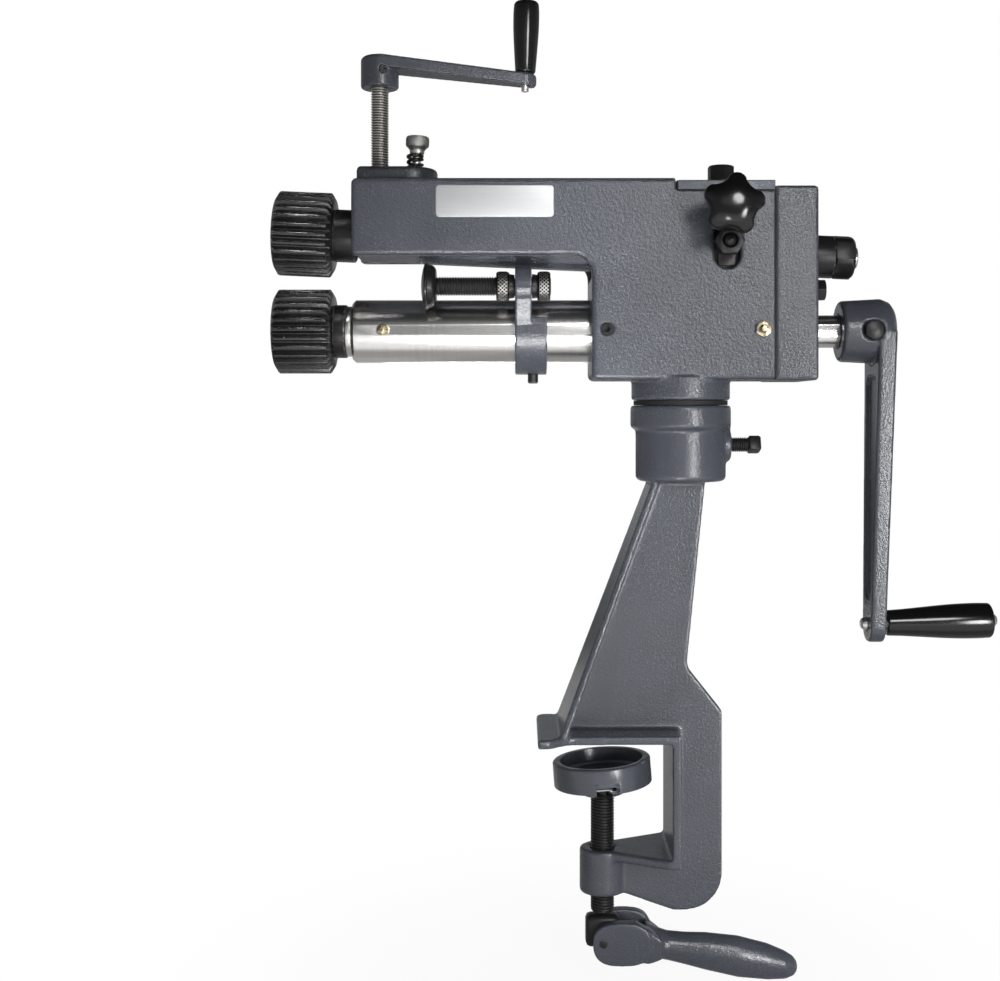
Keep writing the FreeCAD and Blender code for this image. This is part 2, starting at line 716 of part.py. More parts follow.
def fixed_screws():
    tip = -tube_d / 2
    screw = rod("Y", tube_screw_d / 2, -half - 0.4, tip, tube_screw_x, drive_z)
    socket = plate("Y", -half - 1, -half + 3.4, polygon(6, 2.3, 0, tube_screw_x, drive_z))
    keep("tube_set_screw", screw.cut(socket))


def oilers():
    """Press-in oil nipples: one radial in the lower tube, one in the body's face."""
    start = -bush_d_low / 2 - 2.2
    keep("tube_oiler", turned("Y", [
        (start, 0), (start, oiler_d / 2), (-tube_d / 2 - 0.1, oiler_d / 2), (-tube_d / 2 - 0.1, 3.8),
        (-tube_d / 2 - 2.4, 3.8), (-tube_d / 2 - 3.2, 3.0), (-tube_d / 2 - 3.2, 2.0), (-tube_d / 2 - 5.2, 1.7),
        (-tube_d / 2 - 5.2, 0)], tube_oiler_x, drive_z))
    hexed = hexagon("Y", 9.6, -half, -half + 2.6, body_oiler_x, drive_z, 90)
    hexed.rotate(V(body_oiler_x, -half, drive_z), V(1, 0, 0), 180)
    stem = turned("Y", [
        (-half + 8, 0), (-half + 8, oiler_d / 2), (-half - 2.4, oiler_d / 2), (-half - 4.2, 2.6),
        (-half - 5.8, 1.8), (-half - 5.8, 0)], body_oiler_x, drive_z)
    keep("body_oiler", joined(hexed, stem))


def name_plate():
    w, h = plate_len / 2, plate_high / 2
    face = plate("Y", -half - plate_sheet, -half, [
        (plate_mid_x - w, plate_mid_z - h, 2.6), (plate_mid_x + w, plate_mid_z - h, 2.6),
        (plate_mid_x + w, plate_mid_z + h, 2.6), (plate_mid_x - w, plate_mid_z + h, 2.6)])
    keep("name_plate", beveled(face, 0.5, flat_at("Y", -half - plate_sheet)))


# ------------------------------------------------------------------ gears, rolls and shafts
def gear(z, phase):
    pitch_r = gear_module * gear_teeth / 2
    tip_r = pitch_r + gear_module
    root_r = pitch_r - 1.25 * gear_module
    step = 2 * math.pi / gear_teeth
    shares = ((root_r, 0.31), (pitch_r - 1.2, 0.275), (pitch_r, 0.225), (pitch_r + 1.5, 0.165), (tip_r, 0.095))
    corners = []
    for tooth in range(gear_teeth):
        middle = math.radians(phase) + tooth * step
        flank = [(r, middle - share * step) for r, share in shares]
        flank += [(r, middle + share * step) for r, share in reversed(shares)]
        corners += [(r * math.cos(t), z + r * math.sin(t)) for r, t in flank]
    return plate("X", gear_left, gear_left + gear_width, corners)


def keyed(shape, z, low, high):
    """Cut the bore and the keyway of a keyed wheel."""
    play = seated
    return without(shape, rod("X", shaft_d / 2 + seated, low - 1, high + 1, 0, z),
                   box(low - 1, high + 1, -key_w / 2 - play, key_w / 2 + play, z, z + shaft_d / 2 + key_h / 2 + play))


def key(z, low, high):
    top = z + shaft_d / 2 + key_h / 2
    return box(low, high, -key_w / 2, key_w / 2, top - key_h, top)


def keyway(z, low, high):
    top = z + shaft_d / 2 + key_h / 2
    return box(low, high, -key_w / 2 - seated, key_w / 2 + seated, top - key_h, top + 1)


def crimping_roll(z, phase):
    radius = roll_d / 2
    root = radius - roll_depth
    step = 2 * math.pi / roll_teeth
    corners = []
    for tooth in range(roll_teeth):
        middle = math.radians(phase) + tooth * step
        flank = [(root, -0.45), (root + 0.5, -0.41), (radius - 1.0, -0.215), (radius - 0.25, -0.15), (radius, -0.08)]
        flank += [(r, -t) for r, t in reversed(flank)]
        corners += [(r * math.cos(middle + t * step), z + r * math.sin(middle + t * step)) for r, t in flank]
    toothed = plate("X", roll_left, roll_right, corners)
    envelope = turned("X", [
        (roll_left, 0), (roll_left, root - 0.4), (roll_left + roll_chamfer, radius + 0.1),
        (roll_right - roll_chamfer, radius + 0.1), (roll_right, root - 0.4), (roll_right, 0)], 0, z)
    roll = toothed.common(envelope)
    roll = roll.cut(rod("X", nut_seat_d / 2, roll_left - 1, roll_left + nut_seat_depth, 0, z))
    return keyed(roll, z, roll_left, roll_right)


def roll_nut(z):
    low = roll_left + 0.8
    high = roll_left + nut_seat_depth
    nut = hexagon("X", roll_nut_af, 0, high - low, 0, z)
    nut.rotate(V(0, 0, z), V(0, 0, 1), 180)
    nut.translate(V(high, 0, 0))
    return nut.cut(rod("X", shaft_end_d / 2 + seated, low - 1, high + 1, 0, z))


def shaft(z, right, tail):
    """Front threaded end, keyed body and, beyond right, whatever tail the spindle has."""
    start = roll_left + nut_seat_depth
    profile = [(roll_left - 0.6, 0), (roll_left - 0.6, shaft_end_d / 2 - 1), (roll_left + 0.4, shaft_end_d / 2),
               (start, shaft_end_d / 2), (start, shaft_d / 2), (right, shaft_d / 2)] + tail
    solid = turned("X", profile, 0, z)
    return without(solid, keyway(z, *gear_key), keyway(z, *roll_key))


def drive_spindle():
    tail = [(crank_right - 2, shaft_d / 2 - 1.5), (crank_right - 2, 0)]
    bar = shaft(drive_z, crank_right - 3.5, tail)
    bar = bar.cut(rod("Y", bolt_d / 2 + seated, -shaft_d / 2 - 1, -shaft_d / 2 + 2.0, crank_bolt_x, drive_z))
    keep("lower_shaft", bar)
    keep("lower_gear", keyed(gear(drive_z, 90), drive_z, gear_left, gear_left + gear_width))
    keep("lower_shaft_keys", Part.makeCompound([key(drive_z, *gear_key), key(drive_z, *roll_key)]))
    keep("lower_roll", crimping_roll(drive_z, 90))
    keep("lower_roll_nut", roll_nut(drive_z))
    bore = shaft_d / 2 + seated
    washer_left = tube_left - gap - washer_thick
    keep("lower_collar", collar(lower_collar_d / 2, bore, roll_right, washer_left, drive_z))
    keep("thrust_washer", ring("X", washer_d / 2, bore, washer_left, tube_left - gap, 0, drive_z))


def collar(outer, inner, low, high, z):
    return turned("X", [(low, inner), (low, outer - 0.8), (low + 0.8, outer), (high - 0.8, outer),
                        (high, outer - 0.8), (high, inner)], 0, z)


def upper_spindle():
    end_r = upper_tail_d / 2
    seat = gear_left + gear_width
    tail = [(seat, end_r), (upper_tail - 1, end_r), (upper_tail, end_r - 1), (upper_tail, 0)]
    bore = shaft_d / 2 + seated
    keep("upper_shaft", leaned(shaft(shaft_z, seat, tail)))
    gap_phase = -90 + 180.0 / gear_teeth
    keep("upper_gear", leaned(keyed(gear(shaft_z, gap_phase), shaft_z, gear_left, seat)))
    keep("upper_shaft_keys", Part.makeCompound([leaned(key(shaft_z, *gear_key)), leaned(key(shaft_z, *roll_key))]))
    gap_phase = -90 + 180.0 / roll_teeth
    keep("upper_roll", leaned(crimping_roll(shaft_z, gap_phase)))
    keep("upper_roll_nut", leaned(roll_nut(shaft_z)))
    keep("upper_collar", leaned(collar(upper_collar_d / 2, bore, roll_right, nose_left - gap, shaft_z)))
    sleeve = turned("X", [
        (seat, end_r + seated), (seat, sleeve_d / 2 - 1), (seat + 1, sleeve_d / 2),
        (sleeve_end - 0.6, sleeve_d / 2), (sleeve_end, sleeve_d / 2 - 0.6), (sleeve_end, end_r + seated)], 0, shaft_z)
    keep("adjusting_sleeve", leaned(sleeve))
    nut = turned("X", [
        (sleeve_end, end_r + seated), (sleeve_end, locknut_d / 2 - 0.8), (sleeve_end + 0.8, locknut_d / 2),
        (locknut_end - 2.4, locknut_d / 2), (locknut_end, locknut_d / 2 - 2.4), (locknut_end, end_r + seated)],
        0, shaft_z)
    flats = plate("X", sleeve_end, locknut_end, polygon(6, locknut_d / 2 + 0.9, 15, 0, shaft_z))
    keep("adjusting_nut", leaned(nut.common(flats)))


# ------------------------------------------------------------------ swing arm and its rear pivot
def swing_arm():
    nose = plate("Y", -nose_half, nose_half, [
        (nose_left, shaft_z - nose_below, 2.0), (nose_left, shaft_z + nose_above, 2.0),
        (nose_right, shaft_z + nose_above, 4.0), (nose_right, shaft_z - nose_below + nose_chamfer),
        (nose_right - nose_chamfer, shaft_z - nose_below)])
    beam = rod("X", beam_d / 2, nose_right - 2, pivot_x, 0, shaft_z)
    rear = box(pivot_x - rear_half_len, pivot_x + rear_half_len, -rear_half, rear_half,
               shaft_z - rear_below, shaft_z + rear_above)
    arm = joined(nose, beam, rear)
    end = pivot_x + rear_half_len
    arm = without(
        arm, rod("X", shaft_d / 2 + hole_play + 0.3, nose_left - 1, end + 1, 0, shaft_z),
        rod("X", bush_d_up / 2 + seated, nose_left - 1, nose_left + bush_len, 0, shaft_z),
        rod("X", bush_d_up / 2 + seated, pivot_x - bush_len / 2, end + 1, 0, shaft_z),
        rod("Z", stud_d / 2 + seated, shaft_z + nose_above - 5, shaft_z + nose_above + 1, stud_x))
    for side in (-1, 1):
        low, high = sorted((side * (pivot_pin_tip - 0.1), side * (rear_half + 1)))
        arm = arm.cut(rod("Y", pivot_pin_d / 2 + running, low, high, pivot_x, pivot_z))
    keep("swing_arm", leaned(arm))


def lift_parts():
    low = shaft_z + nose_above - 5
    top = lift_nut_low + lift_hub + lift_nut_h + 1.0
    keep("lift_stud", leaned(rod("Z", stud_d / 2, low, top, stud_x)))
    head = lift_nut_low + lift_hub
    r = lift_nut_d / 2
    nut = turned("Z", [
        (lift_nut_low, stud_d / 2 + running), (lift_nut_low, lift_hub_d / 2), (head, lift_hub_d / 2), (head, r - 0.6),
        (head + 0.6, r), (head + lift_nut_h - 0.6, r), (head + lift_nut_h, r - 0.6),
        (head + lift_nut_h, stud_d / 2 + running)], stud_x)
    keep("lift_nut", leaned(nut))
    seat = frame_top + pad_rise - spring_pocket
    hub_z = pivot_z + (lift_nut_low - pivot_z) + (pivot_x - stud_x) * math.sin(math.radians(rest_lean))
    free = hub_z - 2 * gap - seat
    pitch = (free - spring_wire) / spring_turns
    radius = (spring_d - spring_wire) / 2
    helix = Part.makeHelix(pitch, pitch * spring_turns, radius)
    section = Part.Wire(Part.makeCircle(spring_wire / 2, V(radius, 0, 0), V(0, 1, 0)))
    coil = Part.Wire(helix.Edges).makePipeShell([section], True, True)
    coil.translate(V(spring_x, 0, seat + spring_wire / 2 + 0.05))
    keep("lift_spring", coil)


def pivot_block():
    bridge = box(pivot_x - yoke_half_len, pivot_x + yoke_half_len, -yoke_half, yoke_half, yoke_bridge_low, yoke_top)
    parts = []
    for side in (-1, 1):
        low, high = sorted((side * (yoke_half - yoke_cheek), side * yoke_half))
        parts.append(box(pivot_x - yoke_half_len, pivot_x + yoke_half_len, low, high, yoke_low, yoke_bridge_low))
        low, high = sorted((side * (yoke_half - 1), side * tongue_out))
        parts.append(box(pivot_x - tongue_w / 2, pivot_x + tongue_w / 2, low, high,
                         slot_low + 2.6, yoke_bridge_low - 2))
    block = joined(bridge, *parts)
    block = without(
        block, rod("Z", jack_d / 2 + running, yoke_bridge_low - 1, yoke_top + 1, pivot_x),
        rod("Y", knob_stud_d / 2 + running, -yoke_half - 1, -jack_d / 2 - 3.0, knob_x, knob_z),
        rod("Y", pivot_pin_d / 2 + seated, -half, half, pivot_x, pivot_z))
    keep("pivot_block", block)


def pivot_bolts():
    bolts = []
    for side in (-1, 1):
        bolt = turned("Y", [
            (pivot_pin_tip, 0), (pivot_pin_tip, pivot_pin_d / 2 - 0.6), (pivot_pin_tip + 0.6, pivot_pin_d / 2),
            (tongue_out, pivot_pin_d / 2), (tongue_out, slot_w / 2 - gap), (pivot_hex_in, slot_w / 2 - gap),
            (pivot_hex_in, 0)], pivot_x, pivot_z)
        head = hexagon("Y", pivot_hex_af, pivot_hex_in, pivot_hex_out, pivot_x, pivot_z)
        well = turned("Y", [(pivot_hex_out - 2, 0), (pivot_hex_out - 2, pivot_dome_d / 2),
                            (pivot_hex_out, pivot_dome_d / 2 + 0.8), (pivot_hex_out + 1, pivot_dome_d / 2 + 0.8),
                            (pivot_hex_out + 1, 0)], pivot_x, pivot_z)
        dome = Part.makeSphere(pivot_dome_d / 2, V(pivot_x, pivot_dome_out - pivot_dome_d / 2, pivot_z))
        bolt = joined(bolt, head.cut(well), dome)
        if side < 0:
            bolt.rotate(V(pivot_x, 0, pivot_z), V(0, 0, 1), 180)
        bolts.append(bolt)
    keep("pivot_bolts", Part.makeCompound(bolts))


def jack_bolt():
    seat = plate_top
    low = yoke_bridge_low + 2.0
    under = plate_top - plate_thick
    bolt = turned("Z", [
        (low, 0), (low, jack_d / 2 - 1), (low + 1, jack_d / 2), (under - 1.6, jack_d / 2),
        (under - 1.6, jack_d / 2 + 2), (under - gap, jack_d / 2 + 2), (under - gap, jack_d / 2), (seat, jack_d / 2),
        (seat, jack_collar_d / 2), (seat + jack_collar, jack_collar_d / 2), (seat + jack_collar, 0)], pivot_x)
    head = hexagon("Z", jack_af, seat + jack_collar, seat + jack_collar + jack_hex, pivot_x, 0, 95)
    keep("jack_bolt", joined(bolt, head))


def star_knob():
    radius = knob_d / 2
    valley_r = 9.0
    star = rod("Y", radius, -knob_face - 1, -knob_back, knob_x, knob_z)
    for x, z in polygon(knob_lobes, knob_waist_r + valley_r, knob_phase + 180.0 / knob_lobes, knob_x, knob_z):
        star = star.cut(rod("Y", valley_r, -knob_face - 2, -knob_back + 1, x, z))
    star = rounded(star, 4.2, lambda b: b.YMax - b.YMin > knob_face - knob_back - 0.1 and b.XMax - b.XMin < 1e-3)
    edge = 0.5
    dome = turned("Y", [(-knob_face, 0), (-knob_face, 1.5)] + [
        (-knob_face + knob_bulge * (1 - math.cos(math.radians(t))), (radius + edge) * math.sin(math.radians(t)))
        for t in range(10, 91, 10)] + [(-knob_back - 1.5, radius + edge), (-knob_back, radius - 1), (-knob_back, 0)],
        knob_x, knob_z)
    hub = rod("Y", knob_hub_d / 2, -knob_back - 1, -half - 2.6, knob_x, knob_z)
    knob = joined(star.common(dome), hub)
    stud_end = -knob_back - 6
    knob = knob.cut(rod("Y", knob_stud_d / 2 + seated, stud_end, -half, knob_x, knob_z))
    keep("star_knob", knob)
    stud = rod("Y", knob_stud_d / 2, stud_end, -jack_d / 2 - 4.0, knob_x, knob_z)
    washer = rod("Y", knob_washer_d / 2, -half - 2.3, -half - gap, knob_x, knob_z)
    keep("star_knob_stud", joined(stud, washer))


# ------------------------------------------------------------------ pressure screw
def pressure_screw():
    tip_z = nose_top_at(press_x)
    button_top = tip_z + 4.0
    keep("thrust_button", turned("Z", [
        (tip_z + 0.22, 0), (tip_z + 0.22, press_tip_r - 1), (tip_z + 1.2, press_tip_r + 0.6),
        (button_top, press_tip_r + 0.6), (button_top, 0)], press_x))
    r = press_d / 2
    top = crank_boss_top - 1.0
    keep("pressure_screw", turned("Z", [
        (button_top, 0), (button_top, r - 0.8), (button_top + 0.8, r), (top - 0.8, r), (top, r - 0.8), (top, 0)],
        press_x))
    boss_r = crank_boss_d / 2
    boss = turned("Z", [
        (crank_boss_low, 0), (crank_boss_low, boss_r - 1), (crank_boss_low + 1, boss_r),
        (crank_boss_top - 2, boss_r), (crank_boss_top, boss_r - 2), (crank_boss_top, 0)], press_x)
    z_in, z_out = crank_boss_top, crank_boss_top - press_arm_drop
    tip_x = press_arm_end + press_arm_tip_r
    arm = plate("Y", -boss_r, boss_r, [
        (press_x, z_in - 0.1), (tip_x, z_out, 2.0), (tip_x, z_out - press_arm_thick, 2.0),
        (press_x, z_in - press_arm_thick - 0.6)])
    low, high = crank_boss_low - 9, crank_boss_top + 9
    plan = joined(rod("Z", press_arm_tip_r, low, high, press_arm_end),
                  plate("Z", low, high, [(press_x, -boss_r), (press_arm_end, -press_arm_tip_r),
                                         (press_arm_end, press_arm_tip_r), (press_x, boss_r)]))
    arm = arm.common(plan)
    crank = joined(boss, arm)
    crank = without(
        crank, rod("Z", r + seated, crank_boss_low - 1, top, press_x),
        set_screw_turned(rod("Y", press_set_d / 2 + seated, -boss_r - 1, -r - 0.5, press_x, press_set_z)),
        leaning_grip(rod("Z", press_pin_d / 2 + seated, press_grip_low - 24, press_grip_low + 4, press_arm_end)))
    keep("pressure_crank_arm", crank)
    screw = rod("Y", press_set_d / 2, -boss_r - 0.1, -r - 0.6, press_x, press_set_z)
    socket = plate("Y", -boss_r - 1, -boss_r + 2.2, polygon(6, 1.5, 0, press_x, press_set_z))
    keep("pressure_set_screw", set_screw_turned(screw.cut(socket)))
    pressure_grip()


def set_screw_turned(shape):
    turned_round = shape.copy()
    turned_round.rotate(V(press_x, 0, 0), V(0, 0, 1), press_set_turn)
    return turned_round


def nose_top_at(x):
    """Height of the raised nose's top where the pressure screw bears on it."""
    lean = math.radians(rest_lean)
    rise = shaft_z + nose_above - pivot_z
    along = (pivot_x - x + rise * math.sin(lean)) / math.cos(lean)
    return pivot_z + rise * math.cos(lean) + along * math.sin(lean)


def leaning_grip(shape):
    leaning = shape.copy()
    leaning.rotate(V(press_arm_end, 0, press_grip_low), V(0, 1, 0), press_grip_lean)
    return leaning


def pressure_grip():
    low = press_grip_low
    high = low + press_grip_len
    r = press_grip_d / 2
    hole = press_pin_d / 2 + running
    profile = [(low + gap, hole), (low + gap, r * 0.72), (low + 2.0, r * 0.80), (low + 16, r * 0.90),
               (low + 32, r * 0.99), (high - 8, r), (high - 3, r * 0.93), (high - 0.8, r * 0.72), (high, r * 0.4),
               (high, 0), (high - 6, 0), (high - 6, hole)]
    keep("pressure_grip", leaning_grip(turned("Z", profile, press_arm_end)))
    foot = low - press_arm_thick - 2.6
    pin = turned("Z", [
        (foot - 2.0, 0), (foot - 2.0, press_pin_d / 2), (high - 6.3, press_pin_d / 2), (high - 6.3, 0)], press_arm_end)
    keep("pressure_grip_pin", leaning_grip(pin))


# ------------------------------------------------------------------ main crank
def crank():
    hub_r = crank_hub_d / 2
    arm_r = hub_r + crank_hub_draft
    hub = turned("X", [
        (crank_left, 0), (crank_left, hub_r - 1.5), (crank_left + 1.5, hub_r),
        (crank_right - 9, arm_r), (crank_right - 3.6, arm_r - 2.2), (crank_right - 0.8, arm_r - 6.0),
        (crank_right, arm_r - 9.0), (crank_right, 0)], 0, drive_z)
    arm = joined(hub, crank_bar(arm_r))
    for side in (-1, 1):
        arm = arm.cut(bar_recess(side))
    mouth = -hub_r + 1.6
    arm = without(
        arm, rod("X", shaft_d / 2 + seated, crank_left - 1, crank_right - 1.5, 0, drive_z),
        gripped(rod("X", grip_pin_d / 2 + seated, crank_left, crank_right + 9, 0, grip_z)),
        rod("Y", bolt_d / 2 + seated, -hub_r - 4, -shaft_d / 2 + 1, crank_bolt_x, drive_z),
        rod("Y", crank_bolt_af * 0.62, -hub_r - 4, mouth, crank_bolt_x, drive_z))
    keep("crank_arm", arm)
    bolt = hex_bolt("Y", crank_bolt_af, mouth, 5.3, -shaft_d / 2 + 1.6, crank_bolt_x, drive_z, bolt_d / 2, 30)
    keep("crank_bolt", bolt)
    crank_grip()


def crank_bar(top_r):
    """Flat bar of the crank: tapers in width and thickness and leans a little towards the rolls."""
    low = grip_z - crank_foot_r
    face = plate("X", crank_left, crank_right + 5, [
        (-top_r + 0.5, drive_z), (top_r - 0.5, drive_z),
        (crank_foot_r, low, crank_foot_r * 0.9), (-crank_foot_r, low, crank_foot_r * 0.9)])
    foot = grip_z - crank_foot_r - 2
    side = plate("Y", -top_r, top_r, [
        (crank_top_left, drive_z), (crank_top_left + crank_top_thick, drive_z),
        (crank_foot_left + crank_foot_thick, foot), (crank_foot_left, foot)])
    bar = face.common(side)
    return rounded(bar, 1.2, lambda b: b.ZMax - b.ZMin > 60)


def bar_recess(side):
    """Shallow round-ended panel in one flat face of the bar."""
    high, low = drive_z - crank_hub_d / 2 - 10, grip_z + 16
    span = drive_z - grip_z
    share_top, share_low = (drive_z - high) / span, (drive_z - low) / span
    wide_top = crank_hub_d / 2 + (crank_foot_r - crank_hub_d / 2) * share_top - recess_edge
    wide_low = crank_hub_d / 2 + (crank_foot_r - crank_hub_d / 2) * share_low - recess_edge
    panel = plate("X", -0.5, 0.5, [
        (-wide_top, high, wide_top * 0.5), (wide_top, high, wide_top * 0.5),
        (wide_low, low, wide_low * 0.8), (-wide_low, low, wide_low * 0.8)])
    stretch = FreeCAD.Matrix()
    stretch.scale(2 * recess_depth, 1, 1)
    panel = panel.transformGeometry(stretch)
    left = crank_top_left - crank_foot_left
    right = left + crank_top_thick - crank_foot_thick
    run = left if side < 0 else right
    start = crank_foot_left if side < 0 else crank_foot_left + crank_foot_thick
    panel.rotate(V(0, 0, grip_z), V(0, 1, 0), math.degrees(math.atan2(run, span)))
    panel.translate(V(start, 0, 0))
    return panel


def gripped(shape):
    """The grip and its pin point up by a small angle."""
    leaning = shape.copy()
    leaning.rotate(V(crank_foot_left, 0, grip_z), V(0, 1, 0), -grip_lean)
    return leaning


def crank_grip():
    hole = grip_pin_d / 2 + running
    small, big, end = grip_small_d / 2, grip_big_d / 2, grip_end_d / 2
    length = grip_right - grip_left
    keep("crank_grip", gripped(turned("X", [
        (grip_left, hole), (grip_left, small - 0.8), (grip_left + 0.8, small), (grip_left + length * 0.25, small + 1.0),
        (grip_left + length * 0.5, big - 0.8), (grip_left + length * 0.75, big), (grip_right - 6, big - 0.3),
        (grip_right - 1.5, end), (grip_right, end - 1.5), (grip_right, hole)], 0, grip_z)))
    rivet = rivet_d / 2
    left = crank_foot_left
    keep("crank_grip_pin", gripped(turned("X", [
        (left - rivet_out, 0), (left - rivet_out, rivet - 2.6), (left - rivet_out + 1.2, rivet - 0.8),
        (left - 0.3, rivet), (left - 0.3, grip_pin_d / 2), (grip_right + gap, grip_pin_d / 2),
        (grip_right + gap, grip_pin_d / 2 + 1.8), (grip_right + 2.2, 4.6), (grip_right + 4.4, 2.6),
        (grip_right + 4.4, 0)], 0, grip_z)))


# ------------------------------------------------------------------ gauge
def gauge():
    bore = tube_d / 2 + running
    full = rod("X", bracket_d / 2, bracket_left, bracket_right, 0, drive_z)
    ring_r = bracket_d / 2
    rise = math.atan2(rod_z - drive_z, rod_y)
    side = V(-math.sin(rise), math.cos(rise), 0)
    a0, b0 = side.x * ring_r, drive_z + side.y * ring_r
    a1, b1 = rod_y + side.x * eye_r, rod_z + side.y * eye_r
    a2, b2 = rod_y - side.x * eye_r, rod_z - side.y * eye_r
    a3, b3 = -side.x * ring_r, drive_z - side.y * ring_r
    lug = joined(plate("X", bracket_left, lug_right, [(a0, b0), (a1, b1), (a2, b2), (a3, b3)]),
                 rod("X", eye_r, bracket_left, lug_right, rod_y, rod_z))
    wide_top = box(lug_right, bracket_right + 1, -bracket_d, bracket_d, bracket_shoulder, drive_z + bracket_d)
    body = rounded(joined(full, lug), 1.0, flat_at("X", bracket_left))
    bracket = without(
        body, wide_top, rod("X", bore, bracket_left - 1, bracket_right + 1, 0, drive_z),
        rod("X", rod_d / 2 + running, bracket_left - 1, bracket_right + 1, rod_y, rod_z),
        rod("Z", gauge_screw_d / 2 + running, drive_z - ring_r - 1, drive_z - tube_d / 2 + 1, gauge_screw_x))
    keep("gauge_bracket", bracket)
    low = drive_z - ring_r - gauge_screw_out
    keep("gauge_set_screw", turned("Z", [
        (low, 0), (low, gauge_screw_d / 2 - 0.8), (low + 0.8, gauge_screw_d / 2),
        (drive_z - tube_d / 2 + groove_deep - gap, gauge_screw_d / 2),
        (drive_z - tube_d / 2 + groove_deep - gap, 0)], gauge_screw_x))
    r = disc_d / 2
    bow = disc_thick / 2
    rim = [(disc_left + bow - bow * math.cos(math.radians(t)), r - bow * 0.75 + bow * 0.75 * math.sin(math.radians(t)))
           for t in range(0, 181, 20)]
    disc_right = disc_left + disc_thick
    keep("gauge_disc", turned("X", [(disc_left, 0)] + rim + [(disc_right, 0)], rod_y, rod_z))
    rod_right = nut_lows[1] + nut_len + 0.4
    keep("gauge_rod", turned("X", [
        (disc_right, 0), (disc_right, rod_d / 2), (rod_right - 1, rod_d / 2), (rod_right, rod_d / 2 - 1),
        (rod_right, 0)], rod_y, rod_z))
    nuts = [gauge_nut(nut_lows[0], 1), gauge_nut(nut_lows[1], -1)]
    keep("gauge_nuts", Part.makeCompound(nuts))


def gauge_nut(low, neck_side):
    """Knurled nut with a plain neck towards the bracket."""
    hole = rod_d / 2 + running
    r = nut_d / 2
    high = low + nut_len
    body = turned("X", [(low, hole), (low, r - 0.7), (low + 0.7, r), (high - 0.7, r), (high, r - 0.7), (high, hole)],
                  rod_y, rod_z)
    if neck_side > 0:
        neck = ring("X", nut_neck_d / 2, hole, high, high + nut_neck, rod_y, rod_z)
    else:
        neck = ring("X", nut_neck_d / 2, hole, low - nut_neck, low, rod_y, rod_z)
    return joined(body, neck)


# ------------------------------------------------------------------ build
def main():
    for make in (pedestal_casting, swivel_lock_screw, clamp_pad, pad_retaining_wire, clamp_screw, clamp_handle,
                 handle_pin, frame_casting, top_plate, gear_cover, cover_bolts, lower_tube, bushes, fixed_screws,
                 oilers, name_plate, drive_spindle, upper_spindle, swing_arm, lift_parts, pivot_block, pivot_bolts,
                 jack_bolt, star_knob, pressure_screw, crank, gauge):
        make()
    os.makedirs("parts", exist_ok=True)
    for name, shape in PIECES.items():
        shape.exportStep("parts/" + name + ".step")


main()
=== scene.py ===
"""Hand cranked sheet metal crimper: castings, threads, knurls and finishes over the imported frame.

Helpers take millimetres and write metres. X runs along the roll shafts, -Y is the working side and
Z is up.
"""

import json
import math

import bmesh
import bpy
from bpy.props import FloatProperty, FloatVectorProperty, IntProperty, PointerProperty
from mathutils import Matrix, Vector


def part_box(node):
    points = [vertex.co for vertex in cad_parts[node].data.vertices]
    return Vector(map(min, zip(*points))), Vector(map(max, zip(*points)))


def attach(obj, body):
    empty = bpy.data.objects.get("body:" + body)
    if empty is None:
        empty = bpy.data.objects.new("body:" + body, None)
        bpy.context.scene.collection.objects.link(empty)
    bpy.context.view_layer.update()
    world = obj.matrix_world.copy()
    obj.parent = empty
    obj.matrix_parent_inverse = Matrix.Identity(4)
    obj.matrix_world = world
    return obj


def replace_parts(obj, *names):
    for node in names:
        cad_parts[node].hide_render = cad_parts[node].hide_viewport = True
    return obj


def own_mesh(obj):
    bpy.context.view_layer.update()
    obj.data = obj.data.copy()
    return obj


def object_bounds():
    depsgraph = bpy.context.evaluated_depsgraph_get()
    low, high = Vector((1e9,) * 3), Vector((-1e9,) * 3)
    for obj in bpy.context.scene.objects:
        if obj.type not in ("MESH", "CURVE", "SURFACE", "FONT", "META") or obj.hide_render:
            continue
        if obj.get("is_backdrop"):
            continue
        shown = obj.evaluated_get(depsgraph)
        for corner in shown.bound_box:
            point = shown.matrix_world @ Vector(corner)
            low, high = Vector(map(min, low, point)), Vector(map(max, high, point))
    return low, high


bl_info = {
    "name": "Sheet metal crimper",
    "version": (1, 0, 0),
    "blender": (4, 5, 0),
    "location": "3D View > Sidebar > Crimper",
    "description": "Castings, screws, rolls and grips of a bench mounted sheet metal crimper",
    "category": "Object",
}

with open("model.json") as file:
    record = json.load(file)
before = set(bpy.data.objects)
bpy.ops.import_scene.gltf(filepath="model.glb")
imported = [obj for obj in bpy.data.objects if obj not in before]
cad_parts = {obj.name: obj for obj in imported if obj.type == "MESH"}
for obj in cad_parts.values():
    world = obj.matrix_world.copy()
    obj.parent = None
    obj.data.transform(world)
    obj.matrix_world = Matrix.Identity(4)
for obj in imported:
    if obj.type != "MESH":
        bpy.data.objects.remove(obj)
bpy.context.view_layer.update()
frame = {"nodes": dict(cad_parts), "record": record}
NODES = frame["nodes"]
BODY_OF = {node: body for body, nodes in frame["record"]["behaviour"]["bodies"].items()
           for node in nodes}
MM = 0.001

PIVOT = (80.5, 0.0, 330.5)  # rear pivot of the swing arm
REST_LEAN = math.radians(2.49)  # how far the swing arm leans at rest
GAUGE_Y, GAUGE_Z = -24.5, 302.0  # the gauge rod's axis
PRESSURE_X, LIFT_X = -151.3, -128.6  # the pressure screw's and the lift stud's axes
SWIVEL_X, LOCK_Z = 53.1, 196.6  # the swivel's axis and its lock screw's
WELD = 2e-7  # metres within which two vertices are one
ACROSS, UP = (1, 0, 0), (0, 0, 1)


